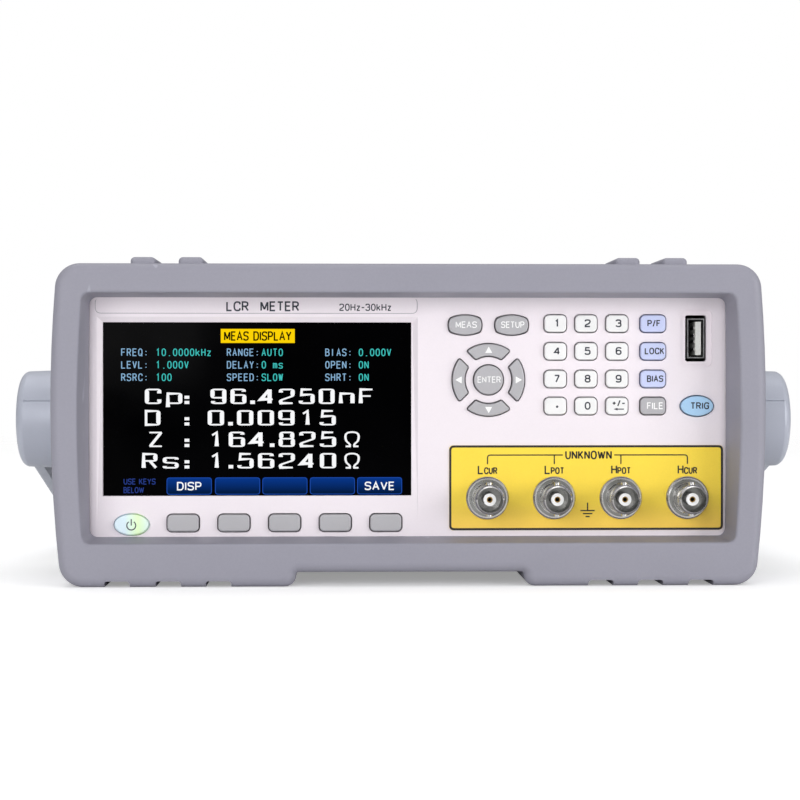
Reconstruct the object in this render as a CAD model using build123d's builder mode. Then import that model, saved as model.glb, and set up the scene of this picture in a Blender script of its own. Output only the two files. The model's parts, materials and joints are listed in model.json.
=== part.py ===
from build123d import *
import math
import os

# Bench LCR meter with rubber bumpers and a folding carry handle.
# Frame: +Z up, the front panel faces -Y, X runs along the panel.
# Origin: centre of the footprint, on the bench under the rubber feet.  All sizes in mm.

# ---------------------------------------------------------------- driving dimensions
OVERALL_DEPTH = 360.0
CASE_WIDTH = 215.0
CASE_HEIGHT = 88.0
CASE_MID_Z = 54.35
CASE_CORNER = 3.0
COVER_SHEET = 1.0
CHASSIS_SHEET = 1.5
FIT_GAP = 0.1
PART_GAP = 0.05

FRONT_Y = -OVERALL_DEPTH / 2
REAR_Y = OVERALL_DEPTH / 2
CASE_BOTTOM_Z = CASE_MID_Z - CASE_HEIGHT / 2
CASE_TOP_Z = CASE_MID_Z + CASE_HEIGHT / 2
CASE_SIDE_X = CASE_WIDTH / 2

# Rubber bumpers: bowed sides, feet that drop below a middle rail, two pads on each top corner
BUMPER_DEPTH = 36.0
BUMPER_TOP_Z = 104.1
BUMPER_MID_HALF = 115.6
BUMPER_TOP_HALF = 113.4
BUMPER_BOTTOM_HALF = 112.2
BUMPER_CORNER = 8.0
BUMPER_FRONT_ROUND = 3.2
BUMPER_BACK_ROUND = 1.5
RAIL_Z = 4.6
FOOT_INNER_X = 36.8
FOOT_END_ROUND = 3.6
FOOT_ROOT_ROUND = 0.9
NOTCH_XS = (94.2, 77.8, 61.7)
NOTCH_WIDTH = 8.2
NOTCH_HEIGHT = 2.0
PAD_XS = (86.0, 70.6)
PAD_WIDTH = 8.0
PAD_LENGTH = 29.0
PAD_HEIGHT = 2.1
PAD_ROUND = 1.4

# Opening in the front of a bumper; it narrows towards the panel
RECESS_DEPTH = 13.0
OPENING_FRONT_MID_HALF = 106.9
OPENING_FRONT_HALF = 105.2
OPENING_FRONT_BOTTOM_Z = 14.0
OPENING_FRONT_TOP_Z = 94.6
OPENING_BACK_MID_HALF = 104.6
OPENING_BACK_HALF = 104.3
OPENING_BACK_BOTTOM_Z = 15.3
OPENING_BACK_TOP_Z = 93.6
OPENING_CORNER = 2.6
OPENING_EDGE_ROUND = 0.9

# Front panel moulding
PANEL_Y = FRONT_Y + RECESS_DEPTH
PANEL_PLATE = 3.0
PANEL_BACK_Y = PANEL_Y + PANEL_PLATE
PANEL_RIM_DEPTH = 16.0
PANEL_RIM_WALL = 2.5
PANEL_RIM_BACK_Y = PANEL_Y + PANEL_RIM_DEPTH
PANEL_SIDE_ROUND = 5.2

# Name strip, display recess and window on the panel
STRIP_X = (-102.6, 3.0)
STRIP_Z = (88.2, 93.2)
STRIP_DEPTH = 0.35
STRIP_CORNER = 1.3
DISPLAY_X = (-102.0, 2.9)
DISPLAY_TOP_Z = 87.3
DISPLAY_FLUSH_Z = 20.5
DISPLAY_DEPTH = 1.3
DISPLAY_BEVEL = 1.8
WINDOW_X = (-100.2, 0.8)
WINDOW_Z = (28.6, 85.5)
GLASS_SINK = 2.1
GLASS_MARGIN = 1.9
GLASS_THICKNESS = 1.2
MODULE_THICKNESS = 4.0
MODULE_MARGIN = 3.0

# Keys: (name, centre x, centre z).  Caps stand proud of the panel and are kept in by a flange.
KEY_GAP = 0.4
KEY_FLANGE = 0.6
KEY_FLANGE_THICKNESS = 1.0
KEY_PROUD = 1.3
KEY_TRAVEL = 1.0
KEY_EDGE_ROUND = 0.5
STEM_RADIUS = 1.5
STEM_LENGTH = 1.3
MAT_HOLE_RADIUS = 1.9
MAT_THICKNESS = 0.9
KEYPAD_BOARD_THICKNESS = 1.6
KEYPAD_HEADER = (24.0, 6.0)
KEYPAD_HEADER_HEIGHT = 5.0

SOFT_KEY_SIZE = (11.0, 6.3, 1.9)
SOFT_KEY_FIRST_X = -73.9
SOFT_KEY_PITCH = 16.57
SOFT_KEY_Z = 19.8
DIGIT_KEY_SIZE = (7.9, 6.3, 1.9)
DIGIT_XS = (48.1, 58.2, 68.4)
DIGIT_ZS = (85.1, 76.0, 66.9, 58.0)
FUNCTION_KEY_SIZE = (9.0, 6.3, 1.9)
FUNCTION_KEY_X = 80.3
MENU_KEY_SIZE = (11.6, 7.2, 1.7)
MENU_KEY_BOW = (0.6, 1.1)
MENU_KEY_Z = 84.6
MEAS_KEY_X = 18.4
SETUP_KEY_X = 33.7
ENTER_X = 26.1
ENTER_Z = 66.6
ENTER_RADIUS = 5.2
ARROW_INNER_RADIUS = 7.5
ARROW_OUTER_RADIUS = 12.2
ARROW_SIDE_OFFSET = 1.4
ARROW_CORNER = 0.9
POWER_KEY_SIZE = (11.9, 7.5)
POWER_KEY_CENTRE = (-90.7, 19.3)
TRIGGER_KEY_SIZE = (11.5, 7.3)
TRIGGER_KEY_CENTRE = (94.9, 58.0)

# USB host socket, upright
USB_CENTRE = (94.7, 80.3)
USB_RECESS = (10.4, 18.6, 1.6)
USB_RECESS_DEPTH = 0.9
USB_OPENING = (7.0, 15.3, 0.8)
USB_SHELL = (5.7, 13.1)
USB_SHELL_WALL = 0.4
USB_SHELL_LENGTH = 14.0
USB_BACK_THICKNESS = 2.0
USB_MOUTH_SETBACK = 0.5
USB_TONGUE = (1.85, 11.0)
USB_TONGUE_OFFSET = 0.9

# Terminal label and the four bayonet jacks, spaced for a standard four-terminal fixture
LABEL_X = (13.2, 103.6)
LABEL_Z = (17.2, 45.1)
LABEL_THICKNESS = 0.3
LABEL_CORNER = 1.3
JACK_PITCH = 22.0
JACK_MID_X = 58.8
JACK_Z = 27.8
JACK_XS = tuple(JACK_MID_X + JACK_PITCH * step for step in (-1.5, -0.5, 0.5, 1.5))
JACK_FLANGE_RADIUS = 6.95
JACK_FLANGE_THICKNESS = 1.5
JACK_GROOVE_RADII = (5.1, 6.1)
JACK_GROOVE_DEPTH = 0.9
JACK_FLANGE_CHAMFER = 0.4
JACK_BARREL_RADIUS = 4.82
JACK_BARREL_LENGTH = 12.6
JACK_COLLAR = 0.6
JACK_RING_COUNT = 3
JACK_RING_WIDTH = 0.5
JACK_BEAD_STEP = 0.35
JACK_NOSE_LENGTH = 1.2
JACK_NOSE_SLOPE = 0.4
JACK_TIP_CHAMFER = 0.3
JACK_MOUTH_RADIUS = 4.1
JACK_MOUTH_DEPTH = 9.0
JACK_THREAD_RADIUS = 4.75
JACK_REAR_LENGTH = 12.0
JACK_LUG_RADIUS = 0.95
JACK_LUG_REACH = 5.5
JACK_LUG_SETBACK = 4.6
JACK_LUG_ROOT = 0.3
PTFE_RADIUS = 2.1
PTFE_FRONT_SETBACK = 2.6
CONTACT_RADIUS = 0.95
CONTACT_BORE_RADIUS = 0.68
CONTACT_SETBACK = 3.2
CONTACT_TAIL = 4.0
NUT_ACROSS_FLATS = 12.6
NUT_THICKNESS = 2.4

# Handle: hubs beside the case, arms folded back and down, grip under the case
PIVOT_Y = -123.0
PIVOT_Z = 53.0
BOSS_FLANGE_RADIUS = 16.6
BOSS_FLANGE_THICKNESS = 1.3
BOSS_SHAFT_RADIUS = 8.0
BOSS_SHAFT_LENGTH = 13.0
HUB_INNER_X = CASE_SIDE_X + BOSS_FLANGE_THICKNESS + FIT_GAP
HUB_RIM_X = 130.6
HUB_OUTER_X = 133.7
HUB_RADIUS = 17.4
HUB_RIM_RADIUS = 16.6
HUB_FLAT_RADIUS = 8.0
HUB_DOME_START = (1.0, -0.25)
HUB_SEAM_RISE = 6.4
HUB_SEAM_WIDTH = 0.35
HUB_SEAM_DEPTH = 0.35
HUB_BORE_DEPTH = 16.5
SHAFT_GAP = 0.06
ARM_INNER_X = 126.0
ARM_OUTER_X = 130.0
ARM_HUB_RADIUS = 15.8
ARM_EDGE_ROUND = 1.5
GRIP_Y = 8.6
GRIP_Z = 5.6
GRIP_WIDTH = 28.0
GRIP_THICKNESS = 8.0
GRIP_HALF_LENGTH = 112.0
GRIP_ROUND = 3.6
TANG_WIDTH = 19.0
TANG_THICKNESS = 4.0
TANG_REACH = 124.8
TANG_CORNER = 1.0
RIB_COUNT = 9
RIB_PITCH = 12.0
RIB_WIDTH = 5.0
RIB_DEPTH = 0.6

# Rear panel fittings
REAR_SHEET = 1.5
REAR_PANEL_Y = REAR_Y - RECESS_DEPTH
FAN_X = -62.0
FAN_Z = 54.0
FAN_SIZE = 60.0
FAN_DEPTH = 15.0
FAN_BORE_RADIUS = 28.0
FAN_HUB_RADIUS = 13.0
FAN_BLADE_RADIUS = 26.8
FAN_BLADE_COUNT = 7
FAN_BLADE = (11.5, 1.1)
FAN_BLADE_PITCH = 40
FAN_ROOT_SINK = 1.5
FAN_TIP_CLEARANCE = 0.8
FAN_PIN_RADIUS = 2.0
FAN_PIN_LENGTH = 4.0
FAN_PIN_INSET = 0.3
FAN_CORNER = 4.0
FAN_STRUT = 3.0
FAN_ROTOR_INSET = 3.5
FAN_ROTOR_DEPTH = 10.5
FAN_HUB_ROUND = 1.5
GUARD_RINGS = ((24.0, 27.5), (18.5, 22.0), (13.0, 16.5))
GUARD_SPOKE = 3.0
FAN_SCREW_PITCH = 50.0
FAN_SCREW_HOLE_RADIUS = 2.1
INLET_X = 76.0
INLET_Z = 50.0
INLET_FLANGE = (31.0, 52.0, 3.0)
INLET_FLANGE_THICKNESS = 2.5
INLET_EDGE_ROUND = 0.8
INLET_BODY = (27.0, 46.0)
INLET_BODY_LENGTH = 28.0
INLET_SOCKET = (24.0, 16.5)
INLET_SOCKET_BEVEL = 4.5
INLET_SOCKET_ROUND = 1.2
INLET_SOCKET_DEPTH = 17.0
INLET_SOCKET_DROP = 9.5
INLET_PIN = (2.0, 4.0, 14.0)
INLET_PIN_OFFSETS = ((-7.0, -1.5), (7.0, -1.5), (0.0, 2.5))
DRAWER_RISE = 13.5
DRAWER_SIZE = (22.0, 9.0)
DRAWER_DEPTH = 22.0
DRAWER_LIP = 1.5
DRAWER_LIP_MARGIN = 1.0
DRAWER_GRIP_RADIUS = 1.6
FUSE_BAY_WALL = 1.5
FUSE_BAY_LENGTH = 7.0
FUSE_BAY_DEPTH = 6.3
SERIAL_CENTRE = (8.0, 78.0)
USB_B_CENTRE = (36.0, 78.0)
HANDLER_CENTRE = (10.0, 46.0)
GROUND_CENTRE = (46.0, 24.0)

# Boards and supply inside
BOARD_Z = 22.0
BOARD_THICKNESS = 1.6
MAIN_BOARD_X = (-98.0, 98.0)
MAIN_BOARD_Y = (-138.0, 52.0)
SUPPLY_X = (-20.0, 60.0)
SUPPLY_Y = (62.0, 150.0)
STANDOFF_RADIUS = 3.0
SCREW_HEAD_RADIUS = 2.8
SCREW_HEAD_HEIGHT = 1.9
SCREW_HEAD_ROUND = 0.9
SCREW_SHANK_RADIUS = 1.4
SCREW_SHANK_LENGTH = 4.0
SCREW_DRIVE_RADIUS = 1.5
SCREW_DRIVE_DEPTH = 1.0
SCREW_HOLE_RADIUS = 1.5
COVER_SCREW_YS = (-60.0, 20.0, 130.0)
COVER_SCREW_Z = 22.0
REAR_SCREW_POINTS = ((-98.0, 24.0), (-98.0, 86.0), (98.0, 24.0), (98.0, 86.0))


# ---------------------------------------------------------------- shared planes and profiles
def facing(y):
    """Upright plane at depth y that looks out of the front: local axes are X and Z."""
    return Plane.XZ.offset(-y)


def span_rectangle(y, x_span, z_span, corner=0.0, grow=0.0):
    """Upright rectangle on the plane at depth y, from its X and Z limits."""
    width = x_span[1] - x_span[0] + 2 * grow
    height = z_span[1] - z_span[0] + 2 * grow
    centre = ((x_span[0] + x_span[1]) / 2, (z_span[0] + z_span[1]) / 2)
    with BuildSketch(facing(y)) as profile:
        with Locations(centre):
            if corner + grow > 0:
                RectangleRounded(width, height, corner + grow)
            else:
                Rectangle(width, height)
    return profile.sketch


def case_profile(y, grow=0.0):
    """Section of the metal case, grown or shrunk."""
    half = CASE_WIDTH / 2
    return span_rectangle(y, (-half, half), (CASE_BOTTOM_Z, CASE_TOP_Z), CASE_CORNER, grow)


def bumper_profile(y):
    """Outline of a bumper: bowed sides, feet at both ends of a raised middle rail."""
    with BuildSketch(facing(y)) as profile:
        with BuildLine():
            Polyline(
                (-BUMPER_BOTTOM_HALF, 0),
                (-FOOT_INNER_X, 0),
                (-FOOT_INNER_X, RAIL_Z),
                (FOOT_INNER_X, RAIL_Z),
                (FOOT_INNER_X, 0),
                (BUMPER_BOTTOM_HALF, 0),
            )
            ThreePointArc(
                (BUMPER_BOTTOM_HALF, 0),
                (BUMPER_MID_HALF, CASE_MID_Z),
                (BUMPER_TOP_HALF, BUMPER_TOP_Z),
            )
            Line((BUMPER_TOP_HALF, BUMPER_TOP_Z), (-BUMPER_TOP_HALF, BUMPER_TOP_Z))
            ThreePointArc(
                (-BUMPER_TOP_HALF, BUMPER_TOP_Z),
                (-BUMPER_MID_HALF, CASE_MID_Z),
                (-BUMPER_BOTTOM_HALF, 0),
            )
        make_face()
        corners = profile.vertices()
        fillet(corners.filter_by(lambda v: abs(v.X) > FOOT_INNER_X + 1), BUMPER_CORNER)
        foot_ends = profile.vertices().filter_by(lambda v: abs(v.X) < FOOT_INNER_X + 1)
        fillet(foot_ends.filter_by(lambda v: v.Y < RAIL_Z / 2), FOOT_END_ROUND)
        roots = profile.vertices().filter_by(lambda v: abs(v.X) < FOOT_INNER_X + 1)
        fillet(roots.filter_by(lambda v: v.Y > RAIL_Z - PART_GAP), FOOT_ROOT_ROUND)
    return profile.sketch


def opening_profile(y, mid_half, end_half, bottom_z, top_z):
    """Bowed window outline in a bumper."""
    with BuildSketch(facing(y)) as profile:
        with BuildLine():
            Line((-end_half, bottom_z), (end_half, bottom_z))
            ThreePointArc((end_half, bottom_z), (mid_half, CASE_MID_Z), (end_half, top_z))
            Line((end_half, top_z), (-end_half, top_z))
            ThreePointArc((-end_half, top_z), (-mid_half, CASE_MID_Z), (-end_half, bottom_z))
        make_face()
        fillet(profile.vertices(), OPENING_CORNER)
    return profile.sketch


# ---------------------------------------------------------------- rubber bumpers
with BuildPart() as front_bumper:
    extrude(bumper_profile(FRONT_Y), amount=-BUMPER_DEPTH)
    front_face = front_bumper.faces().sort_by(Axis.Y)[0]
    fillet(front_face.outer_wire().edges(), BUMPER_FRONT_ROUND)
    back_face = front_bumper.faces().sort_by(Axis.Y)[-1]
    fillet(back_face.outer_wire().edges(), BUMPER_BACK_ROUND)
    with Locations(
        *(
            (side * x, FRONT_Y + BUMPER_FRONT_ROUND + PAD_LENGTH / 2, BUMPER_TOP_Z)
            for side in (-1, 1)
            for x in PAD_XS
        )
    ):
        Box(PAD_WIDTH, PAD_LENGTH, 2 * PAD_HEIGHT)
    pad_edges = front_bumper.edges().filter_by(lambda e: e.center().Z > BUMPER_TOP_Z + PAD_HEIGHT / 4)
    fillet(pad_edges, PAD_ROUND)
    loft(
        [
            opening_profile(
                FRONT_Y,
                OPENING_FRONT_MID_HALF,
                OPENING_FRONT_HALF,
                OPENING_FRONT_BOTTOM_Z,
                OPENING_FRONT_TOP_Z,
            ),
            opening_profile(
                PANEL_Y,
                OPENING_BACK_MID_HALF,
                OPENING_BACK_HALF,
                OPENING_BACK_BOTTOM_Z,
                OPENING_BACK_TOP_Z,
            ),
        ],
        mode=Mode.SUBTRACT,
    )
    extrude(case_profile(PANEL_Y, FIT_GAP), amount=-BUMPER_DEPTH, mode=Mode.SUBTRACT)
    rim_face = front_bumper.faces().sort_by(Axis.Y)[0]
    fillet(rim_face.inner_wires()[0].edges(), OPENING_EDGE_ROUND)
    for side in (-1, 1):
        for x in NOTCH_XS:
            with BuildSketch(facing(FRONT_Y)) as notch:
                with Locations((side * x, 0)):
                    RectangleRounded(NOTCH_WIDTH, 2 * NOTCH_HEIGHT, NOTCH_HEIGHT / 2)
            extrude(notch.sketch, amount=-BUMPER_DEPTH, mode=Mode.SUBTRACT)

with BuildPart() as rear_bumper:
    add(front_bumper.part)
    mirror(about=Plane.XZ, mode=Mode.REPLACE)


# ---------------------------------------------------------------- keys
# name: (outline, size, centre on the panel, turn in degrees)
KEYS = {
    "power_button": ("oval", POWER_KEY_SIZE, POWER_KEY_CENTRE, 0),
    "meas_key": ("bowed", MENU_KEY_SIZE, (MEAS_KEY_X, MENU_KEY_Z), 0),
    "setup_key": ("bowed", MENU_KEY_SIZE, (SETUP_KEY_X, MENU_KEY_Z), 0),
    "enter_key": ("round", ENTER_RADIUS, (ENTER_X, ENTER_Z), 0),
    "up_key": ("arrow", ARROW_CORNER, (ENTER_X, ENTER_Z), 0),
    "left_key": ("arrow", ARROW_CORNER, (ENTER_X, ENTER_Z), 90),
    "down_key": ("arrow", ARROW_CORNER, (ENTER_X, ENTER_Z), 180),
    "right_key": ("arrow", ARROW_CORNER, (ENTER_X, ENTER_Z), 270),
    "trigger_key": ("oval", TRIGGER_KEY_SIZE, TRIGGER_KEY_CENTRE, 0),
}
for number in range(5):
    soft_key_centre = (SOFT_KEY_FIRST_X + SOFT_KEY_PITCH * number, SOFT_KEY_Z)
    KEYS[f"soft_key_{number + 1}"] = ("rounded", SOFT_KEY_SIZE, soft_key_centre, 0)
DIGIT_ROWS = (
    ("digit_1_key", "digit_2_key", "digit_3_key"),
    ("digit_4_key", "digit_5_key", "digit_6_key"),
    ("digit_7_key", "digit_8_key", "digit_9_key"),
    ("point_key", "digit_0_key", "sign_key"),
)
for row_z, row_names in zip(DIGIT_ZS, DIGIT_ROWS):
    for column_x, key_name in zip(DIGIT_XS, row_names):
        KEYS[key_name] = ("rounded", DIGIT_KEY_SIZE, (column_x, row_z), 0)
for row_z, key_name in zip(DIGIT_ZS, ("pass_fail_key", "lock_key", "bias_key", "file_key")):
    KEYS[key_name] = ("rounded", FUNCTION_KEY_SIZE, (FUNCTION_KEY_X, row_z), 0)

ARROW_STEM_RADIUS = (ARROW_INNER_RADIUS + ARROW_OUTER_RADIUS) / 2


def key_plane(centre, turn, y):
    """Plane at depth y on a key's centre, turned about the panel normal."""
    angle = math.radians(turn)
    across = (math.cos(angle), 0, math.sin(angle))
    return Plane(origin=(centre[0], y, centre[1]), x_dir=across, z_dir=(0, -1, 0))


def key_outline(key_name, y, grow=0.0):
    """Outline of a key's hole at depth y, grown or shrunk."""
    outline, size, centre, turn = KEYS[key_name]
    with BuildSketch(key_plane(centre, turn, y)) as profile:
        if outline == "rounded":
            RectangleRounded(size[0] + 2 * grow, size[1] + 2 * grow, size[2] + grow)
        elif outline == "bowed":
            half_width = size[0] / 2 + grow
            half_height = size[1] / 2 + grow
            flank = half_width - MENU_KEY_BOW[0]
            shoulder = half_height - MENU_KEY_BOW[1]
            with BuildLine():
                ThreePointArc((-flank, shoulder), (0, half_height), (flank, shoulder))
                ThreePointArc((flank, shoulder), (half_width, 0), (flank, -shoulder))
                ThreePointArc((flank, -shoulder), (0, -half_height), (-flank, -shoulder))
                ThreePointArc((-flank, -shoulder), (-half_width, 0), (-flank, shoulder))
            make_face()
            fillet(profile.vertices(), size[2] + grow)
        elif outline == "oval":
            Ellipse(size[0] / 2 + grow, size[1] / 2 + grow)
        elif outline == "round":
            Circle(size + grow)
        else:
            apex = (ARROW_SIDE_OFFSET - grow) * math.sqrt(2)
            reach = 2 * ARROW_OUTER_RADIUS
            Circle(ARROW_OUTER_RADIUS + grow)
            Circle(ARROW_INNER_RADIUS - grow, mode=Mode.SUBTRACT)
            Polygon(
                (0, apex),
                (reach, apex + reach),
                (-reach, apex + reach),
                align=None,
                mode=Mode.INTERSECT,
            )
            fillet(profile.vertices(), size + grow)
    return profile.sketch


def stem_outline(key_name, y, radius):
    """Round stem section behind a key's cap, at depth y."""
    outline, size, centre, turn = KEYS[key_name]
    with BuildSketch(key_plane(centre, turn, y)) as profile:
        with Locations((0, ARROW_STEM_RADIUS if outline == "arrow" else 0)):
            Circle(radius)
    return profile.sketch


KEY_FLANGE_Y = PANEL_BACK_Y + PART_GAP
STEM_END_Y = KEY_FLANGE_Y + KEY_FLANGE_THICKNESS + STEM_LENGTH
KEYPAD_BOARD_Y = STEM_END_Y + KEY_TRAVEL + 2 * PART_GAP
MAT_Y = KEYPAD_BOARD_Y - MAT_THICKNESS


def build_key(key_name):
    """A key: domed cap through the panel, flange behind it, stem that reaches the mat."""
    with BuildPart() as key:
        cap = key_outline(key_name, KEY_FLANGE_Y, -KEY_GAP)
        extrude(cap, amount=KEY_PROUD + PANEL_PLATE + PART_GAP)
        fillet(key.faces().sort_by(Axis.Y)[0].edges(), KEY_EDGE_ROUND)
        extrude(key_outline(key_name, KEY_FLANGE_Y, KEY_FLANGE), amount=-KEY_FLANGE_THICKNESS)
        flange_back = KEY_FLANGE_Y + KEY_FLANGE_THICKNESS
        extrude(stem_outline(key_name, flange_back, STEM_RADIUS), amount=-STEM_LENGTH)
    return key.part


key_parts = {key_name: build_key(key_name) for key_name in KEYS}


# ---------------------------------------------------------------- front panel
with BuildPart() as display_recess:
    extrude(
        span_rectangle(PANEL_Y, DISPLAY_X, (DISPLAY_FLUSH_Z - DISPLAY_BEVEL, DISPLAY_TOP_Z)),
        amount=-DISPLAY_DEPTH,
        taper=math.degrees(math.atan2(DISPLAY_BEVEL, DISPLAY_DEPTH)),
    )
    with BuildSketch(Plane.YZ.offset(DISPLAY_X[0])) as wedge:
        Polygon(
            (PANEL_Y, DISPLAY_FLUSH_Z),
            (PANEL_Y, DISPLAY_TOP_Z),
            (PANEL_Y + DISPLAY_DEPTH, DISPLAY_TOP_Z),
            (PANEL_Y + DISPLAY_DEPTH, DISPLAY_TOP_Z - DISPLAY_BEVEL),
            align=None,
        )
    extrude(amount=DISPLAY_X[1] - DISPLAY_X[0], mode=Mode.INTERSECT)

with BuildPart() as front_panel:
    extrude(case_profile(PANEL_Y), amount=-PANEL_RIM_DEPTH)
    with BuildSketch(Plane.XY.offset(CASE_BOTTOM_Z)) as plan:
        with Locations((0, (PANEL_Y + PANEL_RIM_BACK_Y) / 2)):
            Rectangle(CASE_WIDTH, PANEL_RIM_DEPTH)
        fillet(plan.vertices().group_by(Axis.Y)[0], PANEL_SIDE_ROUND)
    extrude(amount=CASE_HEIGHT, mode=Mode.INTERSECT)
    extrude(
        case_profile(PANEL_BACK_Y, -PANEL_RIM_WALL),
        amount=PANEL_PLATE - PANEL_RIM_DEPTH,
        mode=Mode.SUBTRACT,
    )
    add(display_recess.part, mode=Mode.SUBTRACT)
    extrude(
        span_rectangle(PANEL_Y, STRIP_X, STRIP_Z, STRIP_CORNER),
        amount=-STRIP_DEPTH,
        mode=Mode.SUBTRACT,
    )
    extrude(span_rectangle(PANEL_Y, WINDOW_X, WINDOW_Z), amount=-PANEL_PLATE, mode=Mode.SUBTRACT)
    extrude(
        span_rectangle(PANEL_Y + GLASS_SINK, WINDOW_X, WINDOW_Z, grow=GLASS_MARGIN),
        amount=-PANEL_PLATE,
        mode=Mode.SUBTRACT,
    )
    for key_name in KEYS:
        extrude(key_outline(key_name, PANEL_Y), amount=-PANEL_PLATE, mode=Mode.SUBTRACT)
    with BuildSketch(facing(PANEL_Y)) as usb_recess:
        with Locations(USB_CENTRE):
            RectangleRounded(*USB_RECESS)
    extrude(amount=-USB_RECESS_DEPTH, mode=Mode.SUBTRACT)
    with BuildSketch(facing(PANEL_Y)) as usb_opening:
        with Locations(USB_CENTRE):
            RectangleRounded(*USB_OPENING)
    extrude(amount=-PANEL_PLATE, mode=Mode.SUBTRACT)
    with BuildSketch(facing(PANEL_Y)) as jack_holes:
        with Locations(*((x, JACK_Z) for x in JACK_XS)):
            Circle(JACK_THREAD_RADIUS + FIT_GAP)
    extrude(amount=-PANEL_PLATE, mode=Mode.SUBTRACT)

with BuildPart() as display_window:
    extrude(
        span_rectangle(PANEL_Y + GLASS_SINK, WINDOW_X, WINDOW_Z, grow=GLASS_MARGIN - FIT_GAP),
        amount=-GLASS_THICKNESS,
    )

MODULE_Y = PANEL_Y + GLASS_SINK + GLASS_THICKNESS + PART_GAP
with BuildPart() as display_module:
    extrude(
        span_rectangle(MODULE_Y, WINDOW_X, WINDOW_Z, grow=MODULE_MARGIN),
        amount=-MODULE_THICKNESS,
    )
    module_back = display_module.faces().sort_by(Axis.Y)[-1]
    chamfer(module_back.edges(), MODULE_THICKNESS / 4)


# ---------------------------------------------------------------- keypad mat and board
PAD_AREA_X = (8.0, 103.0)
PAD_AREA_Z = (50.0, 93.5)
LINK_X = (8.0, 17.0)
SOFT_AREA_X = (-100.0, 17.0)
SOFT_AREA_Z = (13.5, 25.0)
MAT_INSET = 0.5


def keypad_outline(y, grow):
    """Keypad board outline: a block behind the keys, a link, and a strip under the display."""
    with BuildSketch(facing(y)) as profile:
        for x_span, z_span in (
            (PAD_AREA_X, PAD_AREA_Z),
            (LINK_X, (SOFT_AREA_Z[0], PAD_AREA_Z[1])),
            (SOFT_AREA_X, SOFT_AREA_Z),
        ):
            with Locations((sum(x_span) / 2, sum(z_span) / 2)):
                Rectangle(x_span[1] - x_span[0] + 2 * grow, z_span[1] - z_span[0] + 2 * grow)
        with Locations(USB_CENTRE):
            Rectangle(USB_RECESS[0] - 2 * grow, USB_RECESS[1] - 2 * grow, mode=Mode.SUBTRACT)
    return profile.sketch


with BuildPart() as keypad_mat:
    extrude(keypad_outline(MAT_Y, -MAT_INSET), amount=PART_GAP - MAT_THICKNESS)
    for key_name in KEYS:
        extrude(
            stem_outline(key_name, MAT_Y, MAT_HOLE_RADIUS),
            amount=-MAT_THICKNESS,
            mode=Mode.SUBTRACT,
        )

with BuildPart() as keypad_board:
    extrude(keypad_outline(KEYPAD_BOARD_Y, 0.0), amount=-KEYPAD_BOARD_THICKNESS)
    for key_name in KEYS:
        contact_y = KEYPAD_BOARD_Y + KEYPAD_BOARD_THICKNESS / 2
        extrude(
            stem_outline(key_name, contact_y, STEM_RADIUS),
            amount=KEYPAD_BOARD_THICKNESS / 2 + PART_GAP,
        )
    with BuildSketch(facing(KEYPAD_BOARD_Y + KEYPAD_BOARD_THICKNESS)) as header:
        with Locations((DIGIT_XS[1], ENTER_Z)):
            Rectangle(*KEYPAD_HEADER)
    extrude(amount=-KEYPAD_HEADER_HEIGHT)


# ---------------------------------------------------------------- terminal label and jacks
with BuildPart() as terminal_label:
    extrude(span_rectangle(PANEL_Y, LABEL_X, LABEL_Z, LABEL_CORNER), amount=LABEL_THICKNESS)
    with BuildSketch(facing(PANEL_Y)) as label_holes:
        with Locations(*((x, JACK_Z) for x in JACK_XS)):
            Circle(JACK_FLANGE_RADIUS + FIT_GAP)
    extrude(amount=LABEL_THICKNESS, mode=Mode.SUBTRACT)

JACK_REAR_Y = PANEL_Y + JACK_REAR_LENGTH
JACK_TIP_Y = PANEL_Y - JACK_BARREL_LENGTH
JACK_BEAD_RADIUS = JACK_BARREL_RADIUS - JACK_BEAD_STEP


def shell_outline():
    """Half section of a jack shell as (radius, depth) corners, from the rear over the flange to the mouth."""
    groove_inner, groove_outer = JACK_GROOVE_RADII
    flange_y = PANEL_Y - JACK_FLANGE_THICKNESS
    corners = [
        (PTFE_RADIUS, JACK_REAR_Y),
        (JACK_THREAD_RADIUS, JACK_REAR_Y),
        (JACK_THREAD_RADIUS, PANEL_Y),
        (JACK_FLANGE_RADIUS, PANEL_Y),
        (JACK_FLANGE_RADIUS, flange_y + JACK_FLANGE_CHAMFER),
        (JACK_FLANGE_RADIUS - JACK_FLANGE_CHAMFER, flange_y),
        (groove_outer, flange_y),
        (groove_outer, flange_y + JACK_GROOVE_DEPTH),
        (groove_inner, flange_y + JACK_GROOVE_DEPTH),
        (groove_inner, flange_y - JACK_COLLAR),
    ]
    for ring in range(JACK_RING_COUNT):
        ring_y = flange_y - JACK_COLLAR - 2 * JACK_RING_WIDTH * ring
        corners += [
            (JACK_BEAD_RADIUS, ring_y),
            (JACK_BEAD_RADIUS, ring_y - JACK_RING_WIDTH),
            (JACK_BARREL_RADIUS, ring_y - JACK_RING_WIDTH),
            (JACK_BARREL_RADIUS, ring_y - 2 * JACK_RING_WIDTH),
        ]
    corners += [
        (JACK_BARREL_RADIUS, JACK_TIP_Y + JACK_NOSE_LENGTH + JACK_NOSE_SLOPE),
        (JACK_BEAD_RADIUS, JACK_TIP_Y + JACK_NOSE_LENGTH),
        (JACK_BEAD_RADIUS, JACK_TIP_Y + JACK_TIP_CHAMFER),
        (JACK_BEAD_RADIUS - JACK_TIP_CHAMFER, JACK_TIP_Y),
        (JACK_MOUTH_RADIUS, JACK_TIP_Y),
        (JACK_MOUTH_RADIUS, JACK_TIP_Y + JACK_MOUTH_DEPTH),
        (PTFE_RADIUS, JACK_TIP_Y + JACK_MOUTH_DEPTH),
    ]
    return corners


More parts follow.
